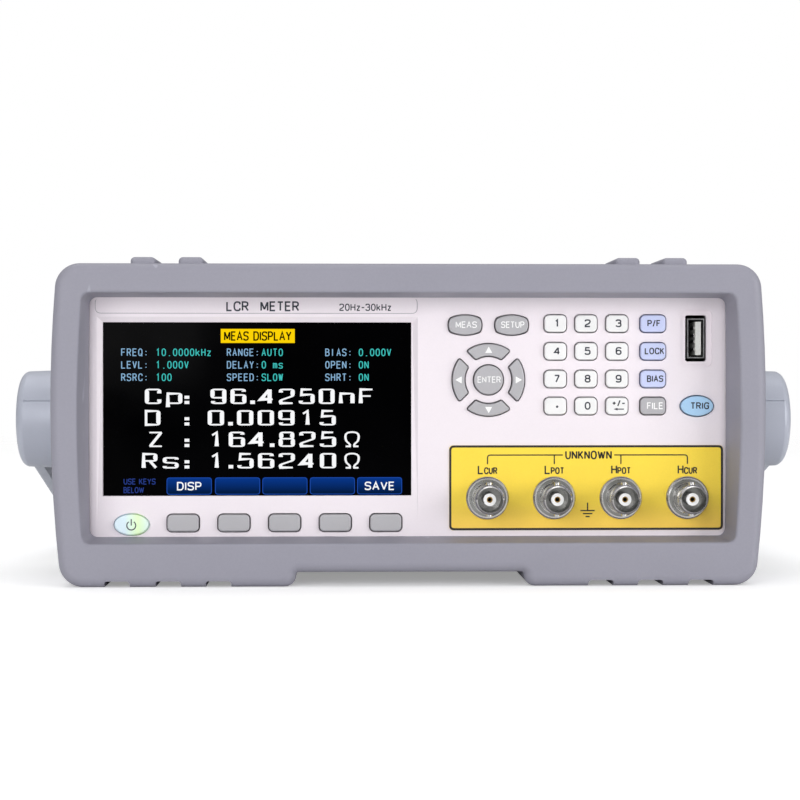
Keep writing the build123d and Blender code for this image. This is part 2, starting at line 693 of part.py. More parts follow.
with BuildPart() as bnc_shells:
    for x in JACK_XS:
        with BuildSketch(Plane.XY.offset(JACK_Z)) as shell_section:
            with Locations((x, 0)):
                Polygon(*shell_outline(), align=None)
        revolve(axis=Axis((x, 0, JACK_Z), (0, 1, 0)))
        for side in (-1, 1):
            lug_root_z = JACK_Z + side * (JACK_BARREL_RADIUS - JACK_LUG_ROOT)
            lug_plane = Plane(origin=(x, JACK_TIP_Y + JACK_LUG_SETBACK, lug_root_z), z_dir=(0, 0, side))
            with BuildSketch(lug_plane) as lug:
                Circle(JACK_LUG_RADIUS)
            extrude(amount=JACK_LUG_REACH - JACK_BARREL_RADIUS + JACK_LUG_ROOT)

PTFE_FRONT_Y = JACK_TIP_Y + PTFE_FRONT_SETBACK
with BuildPart() as bnc_insulators:
    with BuildSketch(facing(JACK_REAR_Y)) as insulators:
        with Locations(*((x, JACK_Z) for x in JACK_XS)):
            Circle(PTFE_RADIUS - PART_GAP)
            Circle(CONTACT_RADIUS + PART_GAP, mode=Mode.SUBTRACT)
    extrude(amount=JACK_REAR_Y - PTFE_FRONT_Y)

CONTACT_FRONT_Y = JACK_TIP_Y + CONTACT_SETBACK
with BuildPart() as bnc_contacts:
    with BuildSketch(facing(JACK_REAR_Y + CONTACT_TAIL)) as pins:
        with Locations(*((x, JACK_Z) for x in JACK_XS)):
            Circle(CONTACT_RADIUS)
    extrude(amount=JACK_REAR_Y + CONTACT_TAIL - CONTACT_FRONT_Y)
    with BuildSketch(facing(CONTACT_FRONT_Y)) as pin_bores:
        with Locations(*((x, JACK_Z) for x in JACK_XS)):
            Circle(CONTACT_BORE_RADIUS)
    extrude(amount=-JACK_MOUTH_DEPTH / 2, mode=Mode.SUBTRACT)

with BuildPart() as bnc_nuts:
    with BuildSketch(facing(PANEL_BACK_Y)) as nuts:
        with Locations(*((x, JACK_Z) for x in JACK_XS)):
            RegularPolygon(NUT_ACROSS_FLATS / 2, 6, major_radius=False)
            Circle(JACK_THREAD_RADIUS + PART_GAP, mode=Mode.SUBTRACT)
    extrude(amount=-NUT_THICKNESS)


# ---------------------------------------------------------------- USB host socket
USB_FRONT_Y = PANEL_Y + USB_RECESS_DEPTH
with BuildPart() as usb_socket:
    with BuildSketch(facing(USB_FRONT_Y)) as usb_shell:
        with Locations(USB_CENTRE):
            Rectangle(*USB_SHELL)
            Rectangle(
                USB_SHELL[0] - 2 * USB_SHELL_WALL,
                USB_SHELL[1] - 2 * USB_SHELL_WALL,
                mode=Mode.SUBTRACT,
            )
    extrude(amount=-USB_SHELL_LENGTH)
    with BuildSketch(facing(USB_FRONT_Y + USB_SHELL_LENGTH)) as usb_back:
        with Locations(USB_CENTRE):
            Rectangle(*USB_SHELL)
    extrude(amount=USB_BACK_THICKNESS)
    with BuildSketch(facing(USB_FRONT_Y + USB_MOUTH_SETBACK)) as usb_tongue:
        with Locations((USB_CENTRE[0] + USB_TONGUE_OFFSET, USB_CENTRE[1])):
            Rectangle(*USB_TONGUE)
    extrude(amount=USB_MOUTH_SETBACK - USB_SHELL_LENGTH)


# ---------------------------------------------------------------- case shells
COVER_FRONT_Y = PANEL_RIM_BACK_Y + FIT_GAP
COVER_BACK_Y = REAR_PANEL_Y - REAR_SHEET - FIT_GAP
COVER_LENGTH = COVER_BACK_Y - COVER_FRONT_Y
COVER_LIP_Z = CASE_BOTTOM_Z + CHASSIS_SHEET
VENT_LENGTH = 22.0
VENT_WIDTH = 2.4
VENT_PITCH = 6.0
SIDE_VENT_COUNT = 12
SIDE_VENT_MID_Y = 84.0
SIDE_VENT_Z = 60.0
TOP_VENT_COUNT = 14
TOP_VENT_MID_Y = 100.0
TOP_VENT_X = 62.0


def cover_screw_holes():
    """Clearance holes of the cover screws, on the left side plane."""
    with BuildSketch(Plane.YZ.offset(-CASE_SIDE_X)) as holes:
        with Locations(*((y, COVER_SCREW_Z) for y in COVER_SCREW_YS)):
            Circle(SCREW_HOLE_RADIUS)
    return holes.sketch


with BuildPart() as top_cover:
    extrude(case_profile(COVER_FRONT_Y), amount=-COVER_LENGTH)
    extrude(case_profile(COVER_FRONT_Y, -COVER_SHEET), amount=-COVER_LENGTH, mode=Mode.SUBTRACT)
    extrude(
        span_rectangle(
            COVER_FRONT_Y,
            (-CASE_WIDTH, CASE_WIDTH),
            (CASE_BOTTOM_Z - CHASSIS_SHEET, COVER_LIP_Z + CASE_CORNER),
        ),
        amount=-COVER_LENGTH,
        mode=Mode.SUBTRACT,
    )
    with BuildSketch(Plane.YZ.offset(-CASE_SIDE_X)) as side_vents:
        with Locations((SIDE_VENT_MID_Y, SIDE_VENT_Z)):
            with GridLocations(VENT_PITCH, 0, SIDE_VENT_COUNT, 1):
                SlotOverall(VENT_LENGTH, VENT_WIDTH, rotation=90)
    extrude(amount=CASE_WIDTH, mode=Mode.SUBTRACT)
    with BuildSketch(Plane.XY.offset(CASE_TOP_Z)) as top_vents:
        for side in (-1, 1):
            with Locations((side * TOP_VENT_X, TOP_VENT_MID_Y)):
                with GridLocations(0, VENT_PITCH, 1, TOP_VENT_COUNT // 2):
                    SlotOverall(2 * VENT_LENGTH, VENT_WIDTH)
    extrude(amount=-2 * COVER_SHEET, mode=Mode.SUBTRACT)
    extrude(cover_screw_holes(), amount=CASE_WIDTH, mode=Mode.SUBTRACT)

CHASSIS_FLANGE_Z = 30.0
CHASSIS_HALF = CASE_SIDE_X - COVER_SHEET - FIT_GAP
with BuildPart() as chassis:
    with BuildSketch(facing(COVER_FRONT_Y)) as tray:
        with BuildLine():
            tray_line = Polyline(
                (-CHASSIS_HALF, CHASSIS_FLANGE_Z),
                (-CHASSIS_HALF, CASE_BOTTOM_Z),
                (CHASSIS_HALF, CASE_BOTTOM_Z),
                (CHASSIS_HALF, CHASSIS_FLANGE_Z),
            )
            offset(tray_line, CHASSIS_SHEET, side=Side.LEFT)
        make_face()
    extrude(amount=-COVER_LENGTH)
    bends = chassis.edges().filter_by(Axis.Y).filter_by(lambda e: e.center().Z < CASE_BOTTOM_Z + 0.1)
    fillet(bends, CHASSIS_SHEET)
    with BuildSketch(Plane.XY.offset(CASE_BOTTOM_Z)) as floor_vents:
        for side in (-1, 1):
            with Locations((side * TOP_VENT_X, TOP_VENT_MID_Y)):
                with GridLocations(0, VENT_PITCH, 1, TOP_VENT_COUNT // 2):
                    SlotOverall(2 * VENT_LENGTH, VENT_WIDTH)
    extrude(amount=2 * CHASSIS_SHEET, mode=Mode.SUBTRACT)
    extrude(cover_screw_holes(), amount=CASE_WIDTH, mode=Mode.SUBTRACT)


# ---------------------------------------------------------------- carry handle
def pivot_plane(side, x):
    """Plane across the handle axis at distance x from the middle, looking outwards."""
    return Plane(origin=(side * x, PIVOT_Y, PIVOT_Z), x_dir=(0, 1, 0), z_dir=(side, 0, 0))


with BuildPart() as pivot_bosses:
    for side in (-1, 1):
        with BuildSketch(pivot_plane(side, CASE_SIDE_X)) as boss_flange:
            Circle(BOSS_FLANGE_RADIUS)
        extrude(amount=BOSS_FLANGE_THICKNESS)
        with BuildSketch(pivot_plane(side, CASE_SIDE_X)) as boss_shaft:
            Circle(BOSS_SHAFT_RADIUS)
        extrude(amount=BOSS_FLANGE_THICKNESS + BOSS_SHAFT_LENGTH)


def hub_profile(side):
    """Half section of a hub: domed cap, tapered skirt and blind bore; X along the axis."""
    with BuildSketch(Plane.XY.offset(PIVOT_Z)) as profile:
        with BuildLine():
            Polyline(
                (side * HUB_OUTER_X, PIVOT_Y),
                (side * (HUB_INNER_X + HUB_BORE_DEPTH), PIVOT_Y),
                (side * (HUB_INNER_X + HUB_BORE_DEPTH), PIVOT_Y + BOSS_SHAFT_RADIUS + SHAFT_GAP),
                (side * HUB_INNER_X, PIVOT_Y + BOSS_SHAFT_RADIUS + SHAFT_GAP),
                (side * HUB_INNER_X, PIVOT_Y + HUB_RADIUS),
                (side * HUB_RIM_X, PIVOT_Y + HUB_RIM_RADIUS),
            )
            Spline(
                (side * HUB_RIM_X, PIVOT_Y + HUB_RIM_RADIUS),
                (side * HUB_OUTER_X, PIVOT_Y + HUB_FLAT_RADIUS),
                tangents=[(side * HUB_DOME_START[0], HUB_DOME_START[1]), (0, -1)],
            )
            Line((side * HUB_OUTER_X, PIVOT_Y + HUB_FLAT_RADIUS), (side * HUB_OUTER_X, PIVOT_Y))
        make_face()
    return profile.sketch


def build_seam(side):
    """Cutter for the parting line across the front of a hub: a thin level slice of the hub's skin."""
    with BuildPart() as seam:
        with BuildSketch(Plane.XY.offset(PIVOT_Z)) as skin:
            Polygon(
                (side * HUB_INNER_X, PIVOT_Y + HUB_RADIUS - HUB_SEAM_DEPTH),
                (side * HUB_INNER_X, PIVOT_Y + 2 * HUB_RADIUS),
                (side * HUB_RIM_X, PIVOT_Y + 2 * HUB_RADIUS),
                (side * HUB_RIM_X, PIVOT_Y + HUB_RIM_RADIUS - HUB_SEAM_DEPTH),
                align=None,
            )
        revolve(axis=Axis((0, PIVOT_Y, PIVOT_Z), (1, 0, 0)))
        with Locations((side * (HUB_INNER_X + HUB_RIM_X) / 2, PIVOT_Y - HUB_RADIUS, PIVOT_Z + HUB_SEAM_RISE)):
            Box(HUB_RIM_X, 2 * HUB_RADIUS, HUB_SEAM_WIDTH, mode=Mode.INTERSECT)
    return seam.part


def grip_section(plane, width, thickness, corner):
    """Rounded bar section of the grip, level under the case."""
    with BuildSketch(plane) as profile:
        with Locations((GRIP_Y - PIVOT_Y, (GRIP_Z - PIVOT_Z) * plane.y_dir.Z)):
            RectangleRounded(width, thickness, corner)
    return profile.sketch


def build_arm(side):
    """A handle arm: hub over the pivot shaft, tapering plate, and a foot with a grip socket."""
    with BuildPart() as arm:
        plate_plane = pivot_plane(side, ARM_INNER_X)
        with BuildSketch(plate_plane) as plate:
            Circle(ARM_HUB_RADIUS)
            with Locations((GRIP_Y - PIVOT_Y, (GRIP_Z - PIVOT_Z) * plate_plane.y_dir.Z)):
                RectangleRounded(GRIP_WIDTH, GRIP_THICKNESS, GRIP_ROUND)
            make_hull()
        extrude(amount=ARM_OUTER_X - ARM_INNER_X)
        foot_plane = pivot_plane(side, GRIP_HALF_LENGTH + FIT_GAP)
        foot = grip_section(foot_plane, GRIP_WIDTH, GRIP_THICKNESS, GRIP_ROUND)
        extrude(foot, amount=ARM_INNER_X - GRIP_HALF_LENGTH)
        outer_edges = arm.faces().sort_by(Axis.X)[-1 if side > 0 else 0].edges()
        fillet(outer_edges, ARM_EDGE_ROUND)
        revolve(hub_profile(side), axis=Axis((0, PIVOT_Y, PIVOT_Z), (1, 0, 0)))
        add(build_seam(side), mode=Mode.SUBTRACT)
        socket = grip_section(foot_plane, TANG_WIDTH + FIT_GAP, TANG_THICKNESS + FIT_GAP, TANG_CORNER)
        extrude(socket, amount=TANG_REACH - GRIP_HALF_LENGTH + FIT_GAP, mode=Mode.SUBTRACT)
    return arm.part


handle_arms = {"handle_arm_left": build_arm(-1), "handle_arm_right": build_arm(1)}

with BuildPart() as handle_grip:
    bar_plane = pivot_plane(1, -GRIP_HALF_LENGTH)
    bar = grip_section(bar_plane, GRIP_WIDTH, GRIP_THICKNESS, GRIP_ROUND)
    extrude(bar, amount=2 * GRIP_HALF_LENGTH)
    tang_plane = pivot_plane(1, -TANG_REACH)
    tang = grip_section(tang_plane, TANG_WIDTH, TANG_THICKNESS, TANG_CORNER)
    extrude(tang, amount=2 * TANG_REACH)
    with BuildSketch(Plane.XY.offset(GRIP_Z - GRIP_THICKNESS / 2)) as grooves:
        with Locations((0, GRIP_Y)):
            with GridLocations(RIB_PITCH, 0, RIB_COUNT, 1):
                SlotOverall(GRIP_WIDTH - 2 * GRIP_ROUND, RIB_WIDTH, rotation=90)
    extrude(amount=RIB_DEPTH, mode=Mode.SUBTRACT)


# ---------------------------------------------------------------- rear panel and its fittings
SERIAL_SHELL = (30.8, 12.5, 2.0)
SERIAL_MOUTH = (16.9, 8.3, 2.4)
USB_B_SHELL = (12.0, 11.0, 0.5)
USB_B_MOUTH = (8.4, 7.7, 1.0)
HANDLER_SHELL = (76.0, 15.0, 3.0)
HANDLER_MOUTH = (58.0, 9.0, 2.0)
PORT_BODY_LENGTH = 12.0
PORT_PROUD = 1.2
PORT_MOUTH_DEPTH = 6.0
PORT_TONGUE_WIDTH = 0.7
PORT_TONGUE_HEIGHT = 0.35
D_SHELL_ANGLE = 80
SQUARE_SHELL_ANGLE = 90
POST_RADIUS = 2.7
POST_BORE_RADIUS = 1.4
POST_LENGTH = 5.0
SERIAL_POST_PITCH = 25.0
HANDLER_POST_PITCH = 67.0
GROUND_POST_RADIUS = 2.0
GROUND_NUT_FLATS = 8.0
GROUND_NUT_THICKNESS = 3.0
GROUND_PROUD = 10.0
PANEL_INNER_Y = REAR_PANEL_Y - REAR_SHEET
FAN_Y = PANEL_INNER_Y - FAN_DEPTH - PART_GAP
INLET_SOCKET_Z = INLET_Z - INLET_SOCKET_DROP
DRAWER_Z = INLET_Z + DRAWER_RISE

# (centre, flange width-height-corner, mouth width-height-corner, mouth side angle)
PORTS = (
    (SERIAL_CENTRE, SERIAL_SHELL, SERIAL_MOUTH, D_SHELL_ANGLE),
    (USB_B_CENTRE, USB_B_SHELL, USB_B_MOUTH, SQUARE_SHELL_ANGLE),
    (HANDLER_CENTRE, HANDLER_SHELL, HANDLER_MOUTH, D_SHELL_ANGLE),
)
POST_POINTS = tuple(
    (centre[0] + side * pitch / 2, centre[1])
    for centre, pitch in ((SERIAL_CENTRE, SERIAL_POST_PITCH), (HANDLER_CENTRE, HANDLER_POST_PITCH))
    for side in (-1, 1)
)
FAN_SCREW_POINTS = tuple(
    (FAN_X + side * FAN_SCREW_PITCH / 2, FAN_Z + level * FAN_SCREW_PITCH / 2)
    for side in (-1, 1)
    for level in (-1, 1)
)


def guard_ring(inner, outer):
    """Ring-shaped air opening in the fan guard, crossed by four spokes."""
    with BuildSketch(facing(REAR_PANEL_Y)) as ring:
        with Locations((FAN_X, FAN_Z)):
            Circle(outer)
            Circle(inner, mode=Mode.SUBTRACT)
            Rectangle(2 * outer, GUARD_SPOKE, rotation=45, mode=Mode.SUBTRACT)
            Rectangle(2 * outer, GUARD_SPOKE, rotation=-45, mode=Mode.SUBTRACT)
    return ring.sketch


with BuildPart() as rear_panel:
    extrude(case_profile(PANEL_INNER_Y), amount=-REAR_SHEET)
    for inner, outer in GUARD_RINGS:
        extrude(guard_ring(inner, outer), amount=REAR_SHEET, mode=Mode.SUBTRACT)
    with BuildSketch(facing(PANEL_INNER_Y)) as rear_cutouts:
        with Locations((INLET_X, INLET_Z)):
            Rectangle(INLET_BODY[0] + 2 * FIT_GAP, INLET_BODY[1] + 2 * FIT_GAP)
        for centre, shell, mouth, side_angle in PORTS:
            with Locations(centre):
                RectangleRounded(shell[0] + 2 * FIT_GAP, shell[1] + 2 * FIT_GAP, shell[2])
        with Locations(GROUND_CENTRE):
            Circle(GROUND_POST_RADIUS + FIT_GAP)
        with Locations(*REAR_SCREW_POINTS, *FAN_SCREW_POINTS):
            Circle(SCREW_HOLE_RADIUS)
    extrude(amount=-REAR_SHEET, mode=Mode.SUBTRACT)

with BuildPart() as fan_housing:
    with BuildSketch(facing(FAN_Y)) as fan_frame:
        with Locations((FAN_X, FAN_Z)):
            RectangleRounded(FAN_SIZE, FAN_SIZE, FAN_CORNER)
            Circle(FAN_BORE_RADIUS, mode=Mode.SUBTRACT)
            with GridLocations(FAN_SCREW_PITCH, FAN_SCREW_PITCH, 2, 2):
                Circle(FAN_SCREW_HOLE_RADIUS, mode=Mode.SUBTRACT)
    extrude(amount=-FAN_DEPTH)
    with BuildSketch(facing(FAN_Y)) as fan_spider:
        with Locations((FAN_X, FAN_Z)):
            Circle(FAN_HUB_RADIUS)
            Rectangle(FAN_SIZE, FAN_STRUT, rotation=45)
            Rectangle(FAN_SIZE, FAN_STRUT, rotation=-45)
            Circle(FAN_PIN_RADIUS + SHAFT_GAP, mode=Mode.SUBTRACT)
    extrude(amount=-FAN_STRUT)

FAN_ROTOR_Y = FAN_Y + FAN_ROTOR_INSET
with BuildPart() as fan_rotor:
    with BuildSketch(facing(FAN_ROTOR_Y)) as fan_hub:
        with Locations((FAN_X, FAN_Z)):
            Circle(FAN_HUB_RADIUS)
    extrude(amount=-FAN_ROTOR_DEPTH)
    fillet(fan_rotor.faces().sort_by(Axis.Y)[-1].edges(), FAN_HUB_ROUND)
    with BuildSketch(facing(FAN_Y + FAN_PIN_INSET)) as fan_pin:
        with Locations((FAN_X, FAN_Z)):
            Circle(FAN_PIN_RADIUS)
    extrude(amount=-FAN_PIN_LENGTH)
    for blade in range(FAN_BLADE_COUNT):
        angle = 2 * math.pi * blade / FAN_BLADE_COUNT
        radial = (math.cos(angle), 0, math.sin(angle))
        root = FAN_HUB_RADIUS - FAN_ROOT_SINK
        blade_plane = Plane(
            origin=(FAN_X + root * radial[0], FAN_ROTOR_Y + FAN_ROTOR_DEPTH / 2, FAN_Z + root * radial[2]),
            x_dir=(0, 1, 0),
            z_dir=radial,
        )
        with BuildSketch(blade_plane) as blade_section:
            Rectangle(*FAN_BLADE, rotation=FAN_BLADE_PITCH)
        extrude(amount=FAN_BLADE_RADIUS - root - FAN_TIP_CLEARANCE)

with BuildPart() as mains_inlet:
    with BuildSketch(facing(REAR_PANEL_Y + INLET_FLANGE_THICKNESS)) as inlet_flange:
        with Locations((INLET_X, INLET_Z)):
            RectangleRounded(*INLET_FLANGE)
    extrude(amount=INLET_FLANGE_THICKNESS)
    fillet(mains_inlet.faces().sort_by(Axis.Y)[-1].edges(), INLET_EDGE_ROUND)
    with BuildSketch(facing(REAR_PANEL_Y)) as inlet_body:
        with Locations((INLET_X, INLET_Z)):
            Rectangle(*INLET_BODY)
    extrude(amount=INLET_BODY_LENGTH)
    with BuildSketch(facing(REAR_PANEL_Y + INLET_FLANGE_THICKNESS)) as inlet_socket:
        with Locations((INLET_X, INLET_SOCKET_Z)):
            Rectangle(*INLET_SOCKET)
        chamfer(inlet_socket.vertices().group_by(Axis.Z)[-1], INLET_SOCKET_BEVEL)
        fillet(inlet_socket.vertices(), INLET_SOCKET_ROUND)
    extrude(amount=INLET_SOCKET_DEPTH, mode=Mode.SUBTRACT)
    with BuildSketch(facing(REAR_PANEL_Y + INLET_FLANGE_THICKNESS)) as drawer_slot:
        with Locations((INLET_X, DRAWER_Z)):
            Rectangle(DRAWER_SIZE[0] + 2 * FIT_GAP, DRAWER_SIZE[1] + 2 * FIT_GAP)
    extrude(amount=DRAWER_DEPTH + FIT_GAP, mode=Mode.SUBTRACT)
    with BuildSketch(facing(REAR_PANEL_Y + INLET_FLANGE_THICKNESS - INLET_SOCKET_DEPTH)) as inlet_pins:
        with Locations(*((INLET_X + x, INLET_SOCKET_Z + z) for x, z in INLET_PIN_OFFSETS)):
            Rectangle(INLET_PIN[0], INLET_PIN[1])
    extrude(amount=-INLET_PIN[2])

with BuildPart() as fuse_drawer:
    with BuildSketch(facing(REAR_PANEL_Y + INLET_FLANGE_THICKNESS)) as drawer_body:
        with Locations((INLET_X, DRAWER_Z)):
            Rectangle(*DRAWER_SIZE)
    extrude(amount=DRAWER_DEPTH)
    with BuildSketch(facing(REAR_PANEL_Y + INLET_FLANGE_THICKNESS + PART_GAP)) as drawer_lip:
        with Locations((INLET_X, DRAWER_Z)):
            lip_width = DRAWER_SIZE[0] + 2 * DRAWER_LIP_MARGIN
            lip_height = DRAWER_SIZE[1] + 2 * DRAWER_LIP_MARGIN
            RectangleRounded(lip_width, lip_height, DRAWER_LIP_MARGIN)
            Circle(DRAWER_GRIP_RADIUS, mode=Mode.SUBTRACT)
    extrude(amount=-DRAWER_LIP)
    with BuildSketch(facing(REAR_PANEL_Y + INLET_FLANGE_THICKNESS)) as lip_neck:
        with Locations((INLET_X, DRAWER_Z)):
            Rectangle(*DRAWER_SIZE)
    extrude(amount=-PART_GAP)
    with BuildSketch(Plane.XY.offset(DRAWER_Z + DRAWER_SIZE[1] / 2)) as fuse_bay:
        with Locations((INLET_X, REAR_PANEL_Y - DRAWER_DEPTH / 2)):
            Rectangle(DRAWER_SIZE[0] - 2 * FUSE_BAY_WALL, FUSE_BAY_LENGTH)
    extrude(amount=-FUSE_BAY_DEPTH, mode=Mode.SUBTRACT)

with BuildPart() as interface_ports:
    for centre, shell, mouth, side_angle in PORTS:
        with BuildSketch(facing(REAR_PANEL_Y + PORT_PROUD)) as port_shell:
            with Locations(centre):
                RectangleRounded(*shell)
        extrude(amount=PORT_PROUD + PORT_BODY_LENGTH)
        with BuildSketch(facing(REAR_PANEL_Y + PORT_PROUD)) as port_mouth:
            with Locations(centre):
                Trapezoid(mouth[0], mouth[1], side_angle, rotation=180)
            fillet(port_mouth.vertices(), mouth[2])
            with Locations(centre):
                tongue = (mouth[0] * PORT_TONGUE_WIDTH, mouth[1] * PORT_TONGUE_HEIGHT)
                Rectangle(*tongue, mode=Mode.SUBTRACT)
        extrude(amount=PORT_MOUTH_DEPTH, mode=Mode.SUBTRACT)
    with BuildSketch(facing(REAR_PANEL_Y + GROUND_PROUD)) as ground_post:
        with Locations(GROUND_CENTRE):
            Circle(GROUND_POST_RADIUS)
    extrude(amount=GROUND_PROUD + PORT_BODY_LENGTH)
    with BuildSketch(facing(REAR_PANEL_Y)) as ground_nut:
        with Locations(GROUND_CENTRE):
            RegularPolygon(GROUND_NUT_FLATS / 2, 6, major_radius=False)
    extrude(amount=-GROUND_NUT_THICKNESS)
    with BuildSketch(facing(REAR_PANEL_Y + PORT_PROUD)) as posts:
        with Locations(*POST_POINTS):
            RegularPolygon(POST_RADIUS, 6)
            Circle(POST_BORE_RADIUS, mode=Mode.SUBTRACT)
    extrude(amount=-POST_LENGTH)


# ---------------------------------------------------------------- boards, supply and wiring
FLOOR_Z = CASE_BOTTOM_Z + CHASSIS_SHEET
BOARD_TOP_Z = BOARD_Z + BOARD_THICKNESS
STANDOFF_INSET = 6.0
BOARD_HOLE_RADIUS = 1.7


def board_holes(x_span, y_span):
    """Centres of the four fixing holes of a board."""
    return [
        (x_span[i] - (2 * i - 1) * STANDOFF_INSET, y_span[j] - (2 * j - 1) * STANDOFF_INSET)
        for i in (0, 1)
        for j in (0, 1)
    ]


MAIN_HOLES = board_holes(MAIN_BOARD_X, MAIN_BOARD_Y)
SUPPLY_HOLES = board_holes(SUPPLY_X, SUPPLY_Y)
STANDING = (Align.CENTER, Align.CENTER, Align.MIN)

# Components on the main board: (x, y, width, length, height)
CHIPS = (
    (-40.0, -90.0, 24.0, 24.0, 2.4),
    (10.0, -95.0, 18.0, 18.0, 2.0),
    (50.0, -100.0, 30.0, 22.0, 9.0),
    (-70.0, -40.0, 14.0, 20.0, 3.0),
    (-10.0, -45.0, 26.0, 12.0, 3.0),
    (40.0, -40.0, 16.0, 16.0, 12.0),
    (70.0, -45.0, 16.0, 16.0, 12.0),
    (-60.0, 20.0, 40.0, 9.0, 9.0),
    (20.0, 20.0, 30.0, 9.0, 9.0),
)
# Transformer and heat sink on the supply board: (x, y from its middle, width, length, height)
SUPPLY_BLOCKS = (
    (-18.0, 0.0, 30.0, 34.0, 28.0),
    (26.0, 4.0, 3.0, 56.0, 30.0),
)
CAPACITOR_SHIFT = 10.0
CAPACITOR_PITCH = 48.0
CAPACITOR_RADIUS = 9.0
CAPACITOR_HEIGHT = 26.0

with BuildPart() as main_board:
    with BuildSketch(Plane.XY.offset(BOARD_Z)) as board_outline:
        with Locations((sum(MAIN_BOARD_X) / 2, sum(MAIN_BOARD_Y) / 2)):
            Rectangle(MAIN_BOARD_X[1] - MAIN_BOARD_X[0], MAIN_BOARD_Y[1] - MAIN_BOARD_Y[0])
        with Locations(*MAIN_HOLES):
            Circle(BOARD_HOLE_RADIUS, mode=Mode.SUBTRACT)
    extrude(amount=BOARD_THICKNESS)
    for x, y, width, length, height in CHIPS:
        with Locations((x, y, BOARD_TOP_Z)):
            Box(width, length, height, align=STANDING)

with BuildPart() as power_supply:
    supply_mid = (sum(SUPPLY_X) / 2, sum(SUPPLY_Y) / 2)
    with BuildSketch(Plane.XY.offset(BOARD_Z)) as supply_outline:
        with Locations(supply_mid):
            Rectangle(SUPPLY_X[1] - SUPPLY_X[0], SUPPLY_Y[1] - SUPPLY_Y[0])
        with Locations(*SUPPLY_HOLES):
            Circle(BOARD_HOLE_RADIUS, mode=Mode.SUBTRACT)
    extrude(amount=BOARD_THICKNESS)
    for shift_x, shift_y, width, length, height in SUPPLY_BLOCKS:
        with Locations((supply_mid[0] + shift_x, supply_mid[1] + shift_y, BOARD_TOP_Z)):
            Box(width, length, height, align=STANDING)
    with BuildSketch(Plane.XY.offset(BOARD_TOP_Z)) as capacitors:
        with Locations((supply_mid[0] + CAPACITOR_SHIFT, supply_mid[1])):
            with GridLocations(0, CAPACITOR_PITCH, 1, 2):
                Circle(CAPACITOR_RADIUS)
    extrude(amount=CAPACITOR_HEIGHT)

with BuildPart() as board_standoffs:
    with BuildSketch(Plane.XY.offset(FLOOR_Z)) as standoff_rounds:
        with Locations(*MAIN_HOLES, *SUPPLY_HOLES):
            Circle(STANDOFF_RADIUS)
    extrude(amount=BOARD_Z - FLOOR_Z)

RIBBON_THICKNESS = 1.0
RIBBON_WIDTH = 20.0
RIBBON_LIFT = 0.8
RIBBON_SAG = 12.0
RIBBON_LANDING = (0.6, -0.8)


def ribbon_run(middle_x, start, chip):
    """Flat cable from a socket behind the panel down to a connector on the main board."""
    end = (chip[1], BOARD_TOP_Z + chip[4] + RIBBON_LIFT)
    knee = (start[0] + RIBBON_SAG, (start[1] + end[1]) / 2)
    with BuildSketch(Plane.YZ.offset(middle_x - RIBBON_WIDTH / 2)) as section:
        with BuildLine():
            Spline(start, knee, end, tangents=[(1, 0), RIBBON_LANDING])
        trace(line_width=RIBBON_THICKNESS)
    return section.sketch


with BuildPart() as ribbon_cables:
    header_back_y = KEYPAD_BOARD_Y + KEYPAD_BOARD_THICKNESS + KEYPAD_HEADER_HEIGHT
    keypad_socket = (header_back_y + RIBBON_LIFT, ENTER_Z)
    extrude(ribbon_run(DIGIT_XS[1], keypad_socket, CHIPS[2]), amount=RIBBON_WIDTH)
    display_socket = (MODULE_Y + MODULE_THICKNESS + RIBBON_LIFT, ENTER_Z)
    extrude(ribbon_run(CHIPS[0][0], display_socket, CHIPS[0]), amount=RIBBON_WIDTH)


# ---------------------------------------------------------------- case screws
def pan_screw(plane):
    """Pan-head screw with a hexagon drive; its head sits on the plane, its shank goes through."""
    with BuildPart() as screw:
        with BuildSketch(plane):
            Circle(SCREW_HEAD_RADIUS)
        extrude(amount=SCREW_HEAD_HEIGHT)
        rim = screw.edges().sort_by(lambda e: (e.center() - plane.origin).dot(plane.z_dir))[-1]
        fillet(rim, SCREW_HEAD_ROUND)
        with BuildSketch(plane.offset(SCREW_HEAD_HEIGHT)):
            RegularPolygon(SCREW_DRIVE_RADIUS, 6)
        extrude(amount=-SCREW_DRIVE_DEPTH, mode=Mode.SUBTRACT)
        with BuildSketch(plane):
            Circle(SCREW_SHANK_RADIUS)
        extrude(amount=-SCREW_SHANK_LENGTH)
    return screw.part


with BuildPart() as case_screws:
    for side in (-1, 1):
        for y in COVER_SCREW_YS:
            screw_plane = Plane(origin=(side * CASE_SIDE_X, y, COVER_SCREW_Z), z_dir=(side, 0, 0))
            add(pan_screw(screw_plane))
    for x, z in REAR_SCREW_POINTS + FAN_SCREW_POINTS:
        add(pan_screw(Plane(origin=(x, REAR_PANEL_Y, z), z_dir=(0, 1, 0))))


